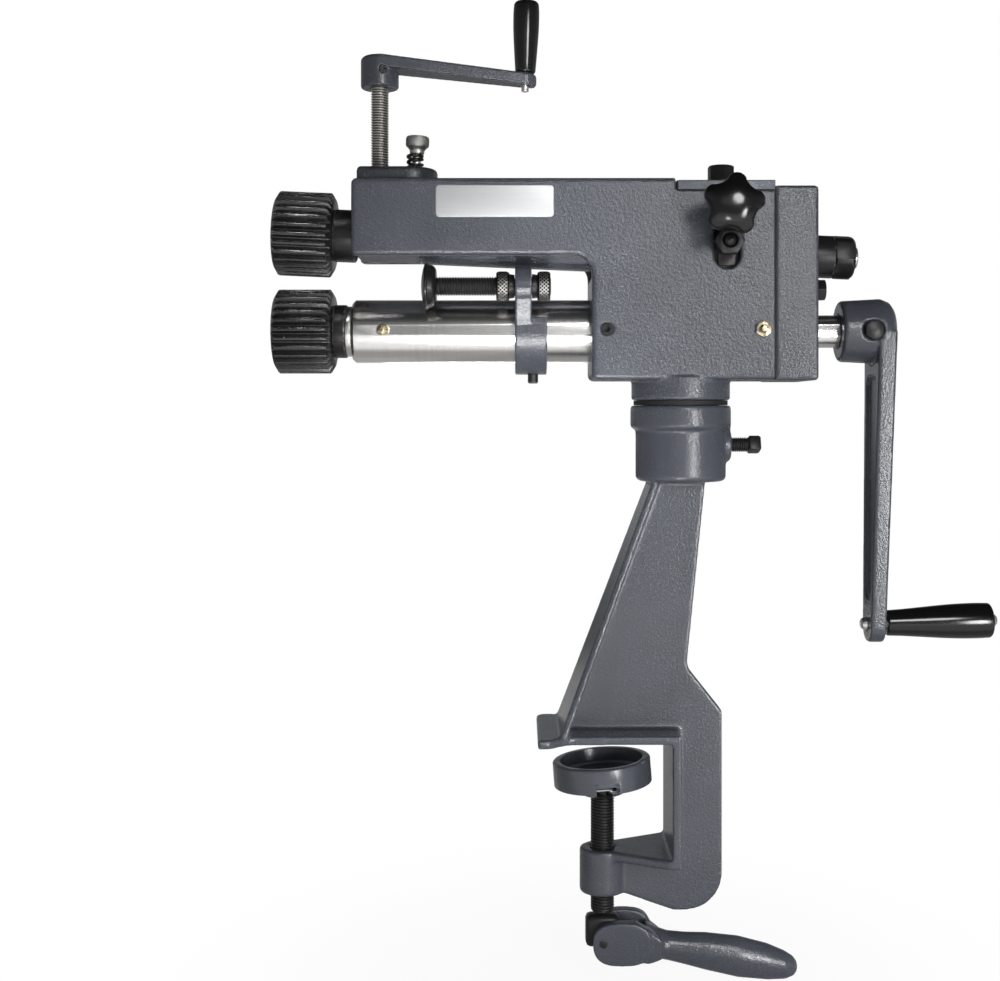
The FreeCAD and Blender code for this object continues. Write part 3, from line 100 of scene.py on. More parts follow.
# ---- settings
class PaintSettings(bpy.types.PropertyGroup):
    colour: FloatVectorProperty(
        name="Paint", description="Base colour of the hammered casting paint",
        subtype="COLOR", default=(0.072, 0.078, 0.096), min=0.0, max=1.0)
    peel: FloatProperty(
        name="Peel depth", description="Height of the paint's orange peel",
        unit="LENGTH", default=0.00065, min=0.0, max=0.002)
    # the pale specks are painted glints, standing in for light caught by the peel
    painted_glint: FloatProperty(
        name="Glints", description="Strength of the pale flakes in the paint", subtype="FACTOR",
        default=0.22, min=0.0, max=1.0)
    voxel: FloatProperty(
        name="Casting grain", description="Cell size of the cast skins",
        unit="LENGTH", default=0.001, min=0.0005, max=0.003)
    relax: IntProperty(
        name="Casting relax", description="Smoothing passes that round the cast edges",
        default=5, min=0, max=40)


class MetalSettings(bpy.types.PropertyGroup):
    ground: FloatVectorProperty(
        name="Ground steel", description="Colour of the ground tube and shafts",
        subtype="COLOR", default=(0.84, 0.825, 0.805), min=0.0, max=1.0)
    black: FloatVectorProperty(
        name="Black oxide", description="Colour of blackened steel",
        subtype="COLOR", default=(0.0115, 0.011, 0.0115), min=0.0, max=1.0)
    worn: FloatVectorProperty(
        name="Worn edge", description="Colour where the blackening has rubbed off",
        subtype="COLOR", default=(0.34, 0.335, 0.33), min=0.0, max=1.0)
    brass: FloatVectorProperty(
        name="Brass", description="Colour of the oil nipples",
        subtype="COLOR", default=(0.56, 0.46, 0.29), min=0.0, max=1.0)
    plastic: FloatVectorProperty(
        name="Black plastic", description="Colour of the grips and the star knob",
        subtype="COLOR", default=(0.006, 0.006, 0.0065), min=0.0, max=1.0)


class ThreadSettings(bpy.types.PropertyGroup):
    pressure_pitch: FloatProperty(
        name="Pressure screw pitch", description="Pitch of the M12 pressure screw",
        unit="LENGTH", default=0.00175, min=0.0005, max=0.005)
    rod_pitch: FloatProperty(
        name="Gauge rod pitch", description="Pitch of the gauge rod",
        unit="LENGTH", default=0.00175, min=0.0005, max=0.005)
    clamp_pitch: FloatProperty(
        name="Clamp screw pitch", description="Pitch of the M16 clamp screw",
        unit="LENGTH", default=0.002, min=0.0005, max=0.005)
    lock_pitch: FloatProperty(
        name="Lock screw pitch", description="Pitch of the M10 swivel lock screw",
        unit="LENGTH", default=0.0015, min=0.0005, max=0.005)


class StageSettings(bpy.types.PropertyGroup):
    camera_place: FloatVectorProperty(
        name="Camera", description="Camera position", subtype="XYZ", unit="LENGTH",
        default=(-0.056, -0.952, 0.2201))
    lens: FloatProperty(
        name="Lens", description="Focal length in millimetres", default=50.4, min=10.0)
    shift: FloatVectorProperty(
        name="Shift", description="Camera shift across and up", size=2, default=(-0.02, -0.0805))
    floor_drop: FloatProperty(
        name="Floor", description="Gap between the lowest point and the floor",
        unit="LENGTH", default=0.002, min=0.0)


def chosen(group):
    return getattr(bpy.context.scene, "crimper_" + group)


# ---- shader maths
class Sock:
    """A shader socket in Python arithmetic: every operator adds its Math node."""

    def __init__(self, finish, source):
        self.finish = finish
        self.source = source

    def __add__(self, other):
        return self.finish.math("ADD", self, other)

    def __sub__(self, other):
        return self.finish.math("SUBTRACT", self, other)

    def __rsub__(self, other):
        return self.finish.math("SUBTRACT", other, self)

    def __mul__(self, other):
        return self.finish.math("MULTIPLY", self, other)

    __radd__ = __add__
    __rmul__ = __mul__

    def above(self, low, high):
        """0 below low, 1 above high, a soft step between."""
        return self.finish.node(
            "ShaderNodeMapRange", {"interpolation_type": "SMOOTHSTEP"},
            {"Value": self, "From Min": low, "From Max": high, "To Min": 0.0, "To Max": 1.0})


class Nodes:
    """Builds shader nodes in one tree."""

    def __init__(self, tree):
        self.tree = tree

    def node(self, kind, settings=None, links=None, out=0):
        made = self.tree.nodes.new(kind)
        for name, value in (settings or {}).items():
            setattr(made, name, value)
        for name, value in (links or {}).items():
            self.feed(made.inputs[name], value)
        return Sock(self, made.outputs[out])

    def feed(self, socket, value):
        if isinstance(value, Sock):
            self.tree.links.new(value.source, socket)
        elif socket.type == "RGBA" and len(value) == 3:
            socket.default_value = (*value, 1.0)
        else:
            socket.default_value = value

    def place(self, stretch=(1.0, 1.0, 1.0), kind="Object"):
        coordinates = self.node("ShaderNodeTexCoord", out=kind)
        return self.node("ShaderNodeMapping", None, {"Vector": coordinates, "Scale": stretch})

    def part(self, vector, axis):
        """One coordinate of a vector."""
        return self.node("ShaderNodeSeparateXYZ", None, {0: vector}, out=axis)

    def noise(self, place, scale, detail=2.0, rough=0.5):
        return self.node("ShaderNodeTexNoise", None,
                         {"Vector": place, "Scale": scale, "Detail": detail, "Roughness": rough})

    def math(self, operation, one, two):
        return self.node("ShaderNodeMath", {"operation": operation}, {0: one, 1: two})

    def mirrored(self):
        """1 for rays that a gloss or a glass sends on."""
        return (self.node("ShaderNodeLightPath", out="Is Glossy Ray")
                + self.node("ShaderNodeLightPath", out="Is Transmission Ray"))

    def mix(self, share, one, two):
        return self.node("ShaderNodeMix", {"data_type": "RGBA"}, {0: share, 6: one, 7: two}, out=2)

    def bump(self, height, distance, strength):
        return self.node("ShaderNodeBump", None,
                         {"Height": height, "Distance": distance, "Strength": strength})

    def crest(self, low, high):
        """1 on convex edges, 0 on flats and in hollows."""
        return self.node("ShaderNodeNewGeometry", out="Pointiness").above(low, high)


class Finish(Nodes):
    """A material round one Principled shader; what is the same all over is given at the start."""

    def __init__(self, name, **fixed):
        self.material = bpy.data.materials.new(name)
        self.material.use_nodes = True
        super().__init__(self.material.node_tree)
        self.shader = self.tree.nodes["Principled BSDF"]
        self.set(**fixed)

    def set(self, **links):
        for name, value in links.items():
            self.feed(self.shader.inputs[name.replace("_", " ")], value)
        return self.material


FINISH = {}


def shade(colour, share, lift=0.0):
    """The colour times a share plus a lift, 1 at most in each channel."""
    return tuple(min(1.0, channel * share + lift) for channel in colour)


# noise cells per metre in the paint, and how convex the edges are that get the painted edge
# highlight
BROAD, DRIFT, PEEL, WORM, GLINT_SPECK, GRAIN = 14.0, 22.0, 620.0, 1050.0, 1150.0, 1700.0
PAINT_EDGE_HIGHLIGHT = (0.525, 0.575)
SHADED_ABOVE = 373.6  # millimetres up; the head's top faces above it get a painted shade


def hammered_paint(name, peel_share, shaded_top=False):
    """Thick sprayed enamel: orange peel 1.5 mm across, pale specks in drifts as painted glints,
    paler convex edges as a painted highlight.
    """
    paint = chosen("paint")
    f = Finish(name, Metallic=0.0, Specular_IOR_Level=0.55)
    place = f.place()
    broad = f.noise(place, BROAD)
    peel = f.noise(place, PEEL, 1.0, 0.4)
    worm = f.noise(place, WORM, 1.5, 0.5)
    grain = f.noise(place, GRAIN, 1.0, 0.5)
    drift = f.noise(place, DRIFT, 2.0, 0.6)
    # painted glints: pale specks in drifts
    glint_speck = f.noise(place, GLINT_SPECK, 1.0, 0.4).above(0.60, 0.68) * drift.above(0.34, 0.62)
    # painted highlight: convex edges turn paler, in patches
    edge = f.crest(*PAINT_EDGE_HIGHLIGHT) * broad.above(0.36, 0.52)
    colour = tuple(paint.colour)
    body = f.mix(broad.above(0.35, 0.65), shade(colour, 0.84), colour)
    body = f.mix(glint_speck * paint.painted_glint * peel_share, body, shade(colour, 3.4, 0.16))
    body = f.mix(edge * 0.7, body, shade(colour, 2.6, 0.05))
    # painted shade: the faces above this height are painted darker
    if shaded_top:
        height = f.part(place, "Z")
        top_shade = height.above(SHADED_ABOVE * MM, (SHADED_ABOVE + 1.0) * MM)
        body = f.mix(top_shade * 0.75, body, shade(colour, 0.30))
    relief = peel * 0.7 + worm * 0.6 + grain * 0.1
    return f.set(Base_Color=body, Roughness=broad * 0.06 + 0.19 + grain * 0.06,
                 Normal=f.bump(relief, paint.peel * peel_share, 0.55))


def ground_steel(name, stretch, roughness, tint=1.0):
    """Ground or turned steel, whose fine lines run across the stretch."""
    f = Finish(name, Metallic=1.0)
    lines = f.noise(f.place(stretch), 1.0, 3.0, 0.6)
    broad = f.noise(f.place(), 30.0)
    colour = shade(chosen("metal").ground, tint)
    return f.set(Base_Color=f.mix(lines.above(0.3, 0.7), shade(colour, 0.90), colour),
                 Roughness=lines * 0.08 + roughness + broad * 0.05,
                 Normal=f.bump(lines, 0.000008, 0.4))


def black_oxide(name, roughness=0.32, crest=0.0, stretch=(1.0, 1.0, 1.0), depth=0.00005,
                shine=0.42):
    """Blackened steel, near black and a little uneven; crest rubs the tips of the threads."""
    metal = chosen("metal")
    f = Finish(name, Specular_IOR_Level=shine)
    broad = f.noise(f.place(), 60.0, 3.0)
    grain = f.noise(f.place(stretch), 1500.0, 2.0, 0.6)
    colour = tuple(metal.black)
    body = f.mix(broad.above(0.3, 0.7) * grain.above(0.3, 0.7), colour, shade(colour, 1.7))
    sheen = broad * 0.12 + 0.04
    if crest:
        edge = f.crest(0.50, 0.60) * broad.above(0.25, 0.55)
        body = f.mix(edge * crest, body, tuple(metal.worn))
        sheen = edge * 0.6 + 0.15
    return f.set(Base_Color=body, Roughness=broad * 0.12 + roughness - 0.06 + grain * 0.10,
                 Metallic=sheen, Normal=f.bump(grain, depth, 0.7))


def rubbed_edge(name, under, share=0.55):
    """An edge where the colour is rubbed through in patches."""
    f = Finish(name)
    patch = f.noise(f.place(), 420.0, 3.0, 0.65).above(0.40, 0.62)
    body = f.mix(patch * share, under, tuple(chosen("metal").worn))
    return f.set(Base_Color=body, Roughness=patch * 0.1 + 0.26, Metallic=patch * 0.6 * share + 0.1)


def screw_steel():
    """Turned thread, silver on its crests and brown with old oil in its roots."""
    f = Finish("screw_steel", Metallic=0.9)
    place = f.place()
    broad = f.noise(place, 80.0, 3.0)
    edge = f.crest(0.47, 0.54)
    body = f.mix(broad.above(0.3, 0.7), (0.115, 0.10, 0.085), (0.17, 0.155, 0.135))
    body = f.mix(edge, body, (0.56, 0.545, 0.52))
    return f.set(Base_Color=body, Roughness=broad * 0.15 + 0.30)


def knurled_steel(name, low, high, roughness, across, centre, along, spans, pitch, count):
    """Crossed ridges that run round an axis, count to a turn, painted as pale lines for a
    highlight; they stop short of the plain rims.
    """
    f = Finish(name, Metallic=0.9)
    place = f.place()
    broad = f.noise(place, 120.0, 3.0)
    one, two = (f.part(place, axis) - middle for axis, middle in zip(across, centre))
    turn = f.math("ARCTAN2", one, two) * (count / (2 * math.pi))
    run = f.part(place, along)
    lines = [f.math("PINGPONG", turn + run * (sense / pitch) + 400.0, 0.5) for sense in (-1.0, 1.0)]
    fade = 0.0003
    inside = 0.0
    for start, end in spans:
        inside = run.above(start, start + fade) * (1.0 - run.above(end - fade, end)) + inside
    # painted highlight: the ridge lines take the pale colour
    edge = f.math("MAXIMUM", *lines).above(0.30, 0.46) * inside
    body = f.mix(edge, f.mix(broad.above(0.3, 0.7), shade(low, 0.7), low), high)
    return f.set(Base_Color=body, Roughness=broad * 0.12 + roughness)


def gloss_plastic():
    f = Finish("gloss_black_plastic", Coat_Weight=0.25, Coat_Roughness=0.12,
               Specular_IOR_Level=0.36)
    place = f.place()
    wave = f.noise(place, 90.0)
    scuff = f.noise(f.place((1.0, 1.0, 0.2)), 1600.0, 3.0, 0.7)
    colour = tuple(chosen("metal").plastic)
    return f.set(Base_Color=f.mix(scuff.above(0.60, 0.72) * 0.5, colour, shade(colour, 3.0, 0.006)),
                 Roughness=wave * 0.08 + 0.12 + scuff.above(0.55, 0.75) * 0.06,
                 Normal=f.bump(wave, 0.00010, 0.4))


def brass():
    f = Finish("brass", Metallic=0.95)
    stain = f.noise(f.place(), 420.0, 3.0)
    edge = f.crest(0.50, 0.58)
    colour = tuple(chosen("metal").brass)
    body = f.mix(stain.above(0.35, 0.6), shade(colour, 0.32), colour)
    return f.set(Base_Color=f.mix(edge * 0.8, body, (0.90, 0.84, 0.66)),
                 Roughness=stain * 0.2 + 0.16)


def bronze():
    f = Finish("sintered_bronze", Metallic=1.0)
    pores = f.node("ShaderNodeTexVoronoi", None, {"Vector": f.place(), "Scale": 1800.0})
    return f.set(Base_Color=f.mix(pores.above(0.2, 0.5), (0.20, 0.13, 0.06), (0.48, 0.33, 0.16)),
                 Roughness=pores * 0.2 + 0.3, Normal=f.bump(pores, 0.00003, 0.4))


def brushed_plate():
    f = Finish("brushed_plate", Metallic=0.6)
    strokes = f.noise(f.place((3.0, 1.0, 900.0)), 12.0, 3.0, 0.65)
    cloud = f.noise(f.place(), 40.0, 1.0)
    body = f.mix(strokes.above(0.25, 0.75), (0.50, 0.505, 0.51), (0.60, 0.605, 0.61))
    return f.set(Base_Color=body, Roughness=strokes * 0.14 + 0.30 + cloud * 0.06,
                 Normal=f.bump(strokes, 0.00002, 0.4))


def spring_wire():
    f = Finish("spring_wire", Metallic=0.4)
    cloud = f.noise(f.place(), 300.0)
    body = f.mix(cloud.above(0.35, 0.65), (0.010, 0.0095, 0.009), (0.035, 0.033, 0.031))
    return f.set(Base_Color=body, Roughness=cloud * 0.15 + 0.2)


def make_finishes():
    black, paint = chosen("metal").black, chosen("paint").colour
    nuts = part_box("gauge_nuts")
    rim, knurled = 0.0009, 0.0076  # metres from a gauge nut's outer face to its knurl's two ends
    FINISH.update(
        # the main paint also takes the painted shade on the head's top faces
        paint=hammered_paint("hammered_paint", 1.0, shaded_top=True),
        paint_edge=rubbed_edge("hammered_paint_edge", shade(paint, 1.25), 0.35),
        column=hammered_paint("column_paint", 0.7),
        enamel=hammered_paint("smooth_enamel", 0.5),
        satin=hammered_paint("satin_enamel", 0.25),
        tube=ground_steel("ground_tube", (2600.0, 6.0, 6.0), 0.17),
        shaft=ground_steel("ground_shaft", (3000.0, 8.0, 8.0), 0.16),
        bright=ground_steel("bright_steel", (900.0, 900.0, 900.0), 0.24, 0.9),
        black=black_oxide("black_oxide"),
        black_edge=rubbed_edge("black_oxide_edge", shade(black, 2.0)),
        roll=black_oxide("black_roll", 0.22, stretch=(0.10, 1.0, 1.0), depth=0.00016, shine=1.0),
        roll_edge=rubbed_edge("black_roll_edge", shade(black, 2.5), 0.8),
        thread=black_oxide("black_thread", 0.36, 0.14),
        disc=black_oxide("black_disc", 0.24),
        # a matt black for the set screw, also the painted shade of the seams
        seam=black_oxide("dull_black_and_seam_shade", 0.6),
        screw=screw_steel(),
        knurl=knurled_steel(
            "knurled_nickel", (0.36, 0.355, 0.34), (0.74, 0.73, 0.71), 0.30,
            ("X", "Y"), (LIFT_X * MM, 0.0), "Z", ((0.3903, 0.3959),), 0.0017, 30),
        dark_knurl=knurled_steel(
            "knurled_black", (0.020, 0.019, 0.019), (0.36, 0.35, 0.34), 0.34,
            ("Y", "Z"), (GAUGE_Y * MM, GAUGE_Z * MM), "X",
            ((nuts[0].x + rim, nuts[0].x + knurled), (nuts[1].x - knurled, nuts[1].x - rim)),
            0.0025, 25),
        plastic=gloss_plastic(),
        brass=brass(),
        bronze=bronze(),
        plate=brushed_plate(),
        spring=spring_wire())


# ---- mesh helpers
def added(piece, finish, body):
    """Finish and body of a new piece."""
    if not piece.data.materials:
        piece.data.materials.append(FINISH[finish])
    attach(piece, body)
    return piece


def instead(piece, finish, node):
    """A new piece that takes a CAD node's place and body."""
    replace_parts(added(piece, finish, BODY_OF[node]), node)
    return piece


def new_object(name, data):
    piece = bpy.data.objects.new(name, data)
    bpy.context.scene.collection.objects.link(piece)
    return piece


def welded(bm):
    bmesh.ops.remove_doubles(bm, verts=bm.verts, dist=WELD)
    bmesh.ops.dissolve_degenerate(bm, edges=bm.edges, dist=1e-8)


def from_bmesh(name, bm, sharp=35.0):
    welded(bm)
    bmesh.ops.recalc_face_normals(bm, faces=bm.faces)
    mesh = bpy.data.meshes.new(name)
    bm.to_mesh(mesh)
    bm.free()
    return smoothed(new_object(name, mesh), sharp)


def smoothed(piece, sharp):
    """Smooth shading that breaks at edges sharper than the angle."""
    piece.data.shade_smooth()
    if sharp < 180.0:
        piece.data.set_sharp_from_angle(angle=math.radians(sharp))
    return piece


def baked(piece):
    """Applies the piece's modifiers."""
    graph = bpy.context.evaluated_depsgraph_get()
    mesh = bpy.data.meshes.new_from_object(piece.evaluated_get(graph))
    piece.modifiers.clear()
    piece.data = mesh
    return piece


def solid_copy(node, name):
    """A welded copy of a CAD node's mesh with its flat faces joined up."""
    bm = bmesh.new()
    bm.from_mesh(NODES[node].data)
    bmesh.ops.remove_doubles(bm, verts=bm.verts, dist=2e-6)
    bmesh.ops.dissolve_limit(bm, angle_limit=math.radians(0.4), verts=bm.verts, edges=bm.edges)
    mesh = bpy.data.meshes.new(name)
    bm.to_mesh(mesh)
    bm.free()
    return new_object(name, mesh)


def machined(node, finish, edge):
    """A machined part: the node's shape with every hard edge broken."""
    piece = solid_copy(node, node + "_part")
    piece.data.materials.append(FINISH[finish])
    bevel = piece.modifiers.new("edge", "BEVEL")
    if finish + "_edge" in FINISH:
        piece.data.materials.append(FINISH[finish + "_edge"])
        bevel.material = 1
    bevel.width = edge * MM
    bevel.segments = 2
    bevel.limit_method = "ANGLE"
    bevel.angle_limit = math.radians(32.0)
    bevel.use_clamp_overlap = True
    bevel.miter_outer = "MITER_ARC"
    smoothed(baked(piece), 40.0)
    return instead(piece, finish, node)


def rounded(piece, width, segments):
    """Rounds every edge of a blocky piece."""
    bevel = piece.modifiers.new("round", "BEVEL")
    bevel.width, bevel.segments, bevel.limit_method = width * MM, segments, "ANGLE"
    return smoothed(baked(piece), 50.0)


def softened(piece, cell, passes):
    """The soft edges and fillets that a sand casting has."""
    remesh = piece.modifiers.new("skin", "REMESH")
    remesh.mode = "VOXEL"
    remesh.voxel_size = cell
    relaxing = piece.modifiers.new("relax", "SMOOTH")
    relaxing.factor, relaxing.iterations = 0.5, passes
    return smoothed(baked(piece), 180.0)


def cast_skin(node, finish="paint", voxel=1.0, relax=None):
    """A cast part: the node's shape, softened."""
    paint = chosen("paint")
    piece = softened(solid_copy(node, node + "_skin"), voxel * paint.voxel,
                     paint.relax if relax is None else relax)
    return instead(piece, finish, node)


class Axis:
    """A turning axis: points are given as distance along it, radius and angle."""

    def __init__(self, origin, along):
        self.origin = Vector(origin)
        self.along = Vector(along).normalized()
        seed = Vector((0.0, 0.0, 1.0)) if abs(self.along.z) < 0.9 else Vector((0.0, -1.0, 0.0))
        self.side = self.along.cross(seed).normalized()
        self.up = self.side.cross(self.along).normalized()

    def at(self, s, r, angle):
        flat = self.side * math.cos(angle) + self.up * math.sin(angle)
        return (self.origin + self.along * s + flat * r) * MM


def eased(corners, steps=4):
    """Profile points whose corners (along, radius, round) are rounded where round is given."""
    points = []
    for i, corner in enumerate(corners):
        here = Vector(corner[:2])
        reach = corner[2] if len(corner) > 2 else 0.0
        if not reach or i in (0, len(corners) - 1):
            points.append((here.x, here.y))
            continue
        back = Vector(corners[i - 1][:2]) - here
        ahead = Vector(corners[i + 1][:2]) - here
        reach = min(reach, back.length * 0.48, ahead.length * 0.48)
        start = here + back.normalized() * reach
        end = here + ahead.normalized() * reach
        for k in range(steps + 1):
            t = k / steps
            point = start * (1 - t) ** 2 + here * 2 * t * (1 - t) + end * t * t
            points.append((point.x, point.y))
    return points


def vertex(bm, x, y, z):
    return bm.verts.new(Vector((x, y, z)) * MM)


def bridge(bm, rings, loop=False):
    """Faces between neighbouring rings; a ring of one vertex is a tip, and open ends get a cap."""
    for low, high in zip(rings, rings[1:] + rings[:1] if loop else rings[1:]):
        count = max(len(low), len(high))
        for k in range(count):
            j = (k + 1) % count
            corners = dict.fromkeys((low[k % len(low)], low[j % len(low)],
                                     high[j % len(high)], high[k % len(high)]))
            if len(corners) > 2:
                bm.faces.new(corners.keys())
    for ring in () if loop else (rings[0], rings[-1]):
        if len(ring) > 1:
            bm.faces.new(ring)
    return bm


def turned(bm, axis, profile, segments, start=0.0):
    """One ring of vertices for each (along, radius) point."""
    return [[bm.verts.new(axis.at(s, r, start + 2 * math.pi * k / segments))
             for k in range(segments if r else 1)] for s, r in profile]


def lathe(axis, corners, segments, bm=None, steps=4, loop=False):
    """Surface of revolution through eased corners, closed at its ends or, for sleeves, a loop."""
    bm = bm or bmesh.new()
    return bridge(bm, turned(bm, axis, eased(corners, steps), segments), loop)


def thread(axis, low, high, radius, pitch, depth, columns=48):
    """A right-hand screw thread between two places on its axis, run out and closed at both ends."""
    bm = bmesh.new()
    steps = (0.0, 0.0, 0.5, 1.0, 1.0, 0.5)  # how deep the thread is cut, along one pitch
    per = len(steps)
    runout = 0.8 * pitch
    rows = int(math.ceil((high - low) / pitch * per)) + per + 1
    grid = []
    for k in range(rows):
        line = []
        for j in range(columns):
            s = low + (k / per - 1.0 + j / columns) * pitch
            s = min(max(s, low), high)
            cut = max(steps[k % per], 1.0 - (s - low) / runout, 1.0 - (high - s) / runout)
            line.append(bm.verts.new(axis.at(s, radius - depth * cut, 2 * math.pi * j / columns)))
        grid.append(line)
    for k in range(rows - 1):
        for j in range(columns - 1):
            bm.faces.new([grid[k][j], grid[k][j + 1], grid[k + 1][j + 1], grid[k + 1][j]])
        if k + per + 1 < rows:
            bm.faces.new([grid[k][-1], grid[k + per][0], grid[k + per + 1][0], grid[k + 1][-1]])
    welded(bm)
    bmesh.ops.holes_fill(bm, edges=[e for e in bm.edges if e.is_boundary], sides=0)
    return bm


def knurl(bm, axis, low, high, radius, hole, pitch, depth, chamfer, ridge=min):
    """A knurled ring: crossed ridges on the rim, plain chamfered edges and a bore."""
    columns = int(round(2 * math.pi * radius / pitch)) * 4
    inner_low, inner_high = low + chamfer, high - chamfer
    rows = max(4, int(round((inner_high - inner_low) / pitch * 4)))
    rings = turned(bm, axis, ((low, hole), (low, radius - chamfer)), columns)
    for i in range(rows + 1):
        s = inner_low + (inner_high - inner_low) * i / rows
        ring = []
        for k in range(columns):
            one = abs(((i + k) / 4.0) % 1.0 - 0.5) * 2
            two = abs(((i - k) / 4.0) % 1.0 - 0.5) * 2
            fade = min(1.0, i / 2.0, (rows - i) / 2.0)
            r = radius - depth * (1 - ridge(one, two) * fade)
            ring.append(bm.verts.new(axis.at(s, r, 2 * math.pi * k / columns)))
        rings.append(ring)
    rings += turned(bm, axis, ((high, radius - chamfer), (high, hole)), columns)
    return bridge(bm, rings, loop=True)


def cuboid(bm, low, high):
    """A box between two corners, given in millimetres."""
    low, high = Vector(low), Vector(high)
    size, middle = high - low, (high + low) / 2
    for v in bmesh.ops.create_cube(bm, size=1.0)["verts"]:
        v.co = Vector((v.co.x * size.x, v.co.y * size.y, v.co.z * size.z)) * MM + middle * MM


def turn_about(point, angle):
    """A turn round the line along Y through a point given in millimetres."""
    move = Matrix.Translation(Vector(point) * MM)
    return move @ Matrix.Rotation(angle, 4, "Y") @ move.inverted()


def bent(value, power):
    """The value raised to a power, its sign kept."""
    return math.copysign(abs(value) ** power, value)


# ---- pieces
class CRIMPER_OT_finishes(bpy.types.Operator):
    """Makes the paint, steel, brass and plastic finishes"""
    bl_idname = "crimper.finishes"
    bl_label = "Finishes"

    def execute(self, context):
        make_finishes()
        return {"FINISHED"}


class CRIMPER_OT_castings(bpy.types.Operator):
    """Gives every painted casting its soft cast skin"""
    bl_idname = "crimper.castings"
    bl_label = "Castings"

    PAD_MIDDLE, PAD_LEAN = (0.0, 0.0, -27.5), math.radians(-4.4)
    PAD_NOTCH = (-5.7, -42.0, -36.1), (9.5, -12.0, -27.1)
    NECK_LOW = 226.55  # just under the flange of the head's neck

    def execute(self, context):
        cast_skin("frame_casting")
        cast_skin("pedestal_casting", "column", relax=12)
        cast_skin("gear_cover", relax=4)
        cast_skin("crank_arm", "enamel", voxel=0.8, relax=6)
        machined("clamp_pad", "satin", 0.7)
        self.pad_skirt()
        cast_skin("pressure_crank_arm", "enamel", voxel=0.55, relax=12)
        cast_skin("gauge_bracket", "column", voxel=0.6, relax=4)
        cast_skin("swing_arm", relax=4)
        machined("top_plate", "paint", 0.7)
        self.seams()
        return {"FINISHED"}

    def pad_skirt(self):
        """The crisp foot of the pad's wall, notched above its retaining wire."""
        bm = lathe(Axis((0, 0, 0), UP), (
            (-33.2, 27.0), (-33.2, 33.2, 0.8), (-25.0, 33.2, 0.3), (-25.0, 27.0)), 128, loop=True)
        bm.transform(turn_about(self.PAD_MIDDLE, self.PAD_LEAN))
        wall = from_bmesh("clamp_pad_skirt", bm, 40.0)
        notch = bmesh.new()
        cuboid(notch, *self.PAD_NOTCH)
        cutter = from_bmesh("pad_notch", notch)
        cut = wall.modifiers.new("notch", "BOOLEAN")
        cut.operation, cut.solver, cut.object = "DIFFERENCE", "EXACT", cutter
        baked(wall)
        bpy.data.objects.remove(cutter)
        instead(wall, "satin", "clamp_pad")

    def seams(self):
        """Dark strips in the joints between the body, its cover and its top plate, and a dark ring
        in the swivel gap: a painted shade.
        """
        # painted shade: dark strips laid in the joints where the gaps are shaded
        bm = bmesh.new()
        low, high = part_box("gear_cover")
        cuboid(bm, (low.x / MM - 0.55, -31.78, low.z / MM + 0.6),
               (low.x / MM + 0.75, 31.78, high.z / MM - 0.7))
        low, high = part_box("top_plate")
        cuboid(bm, (low.x / MM - 0.4, -31.7, low.z / MM - 0.55),
               (high.x / MM, 31.7, low.z / MM + 0.35))
        cuboid(bm, (low.x / MM - 0.75, -31.7, low.z / MM - 0.5),
               (low.x / MM + 0.25, 31.7, high.z / MM - 0.5))
        added(from_bmesh("painted_seam_shade", bm, 30.0), "seam", "head")
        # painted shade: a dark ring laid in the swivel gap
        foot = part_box("pedestal_casting")[1].z / MM + 0.15
        top = self.NECK_LOW
        bm = lathe(Axis((SWIVEL_X, 0, 0), UP), (
            (foot, 27.0), (foot, 31.8, 0.3), (top, 31.8, 0.3), (top, 27.0)), 96, loop=True)
        added(from_bmesh("swivel_gap_shade", bm, 30.0), "seam", "head")


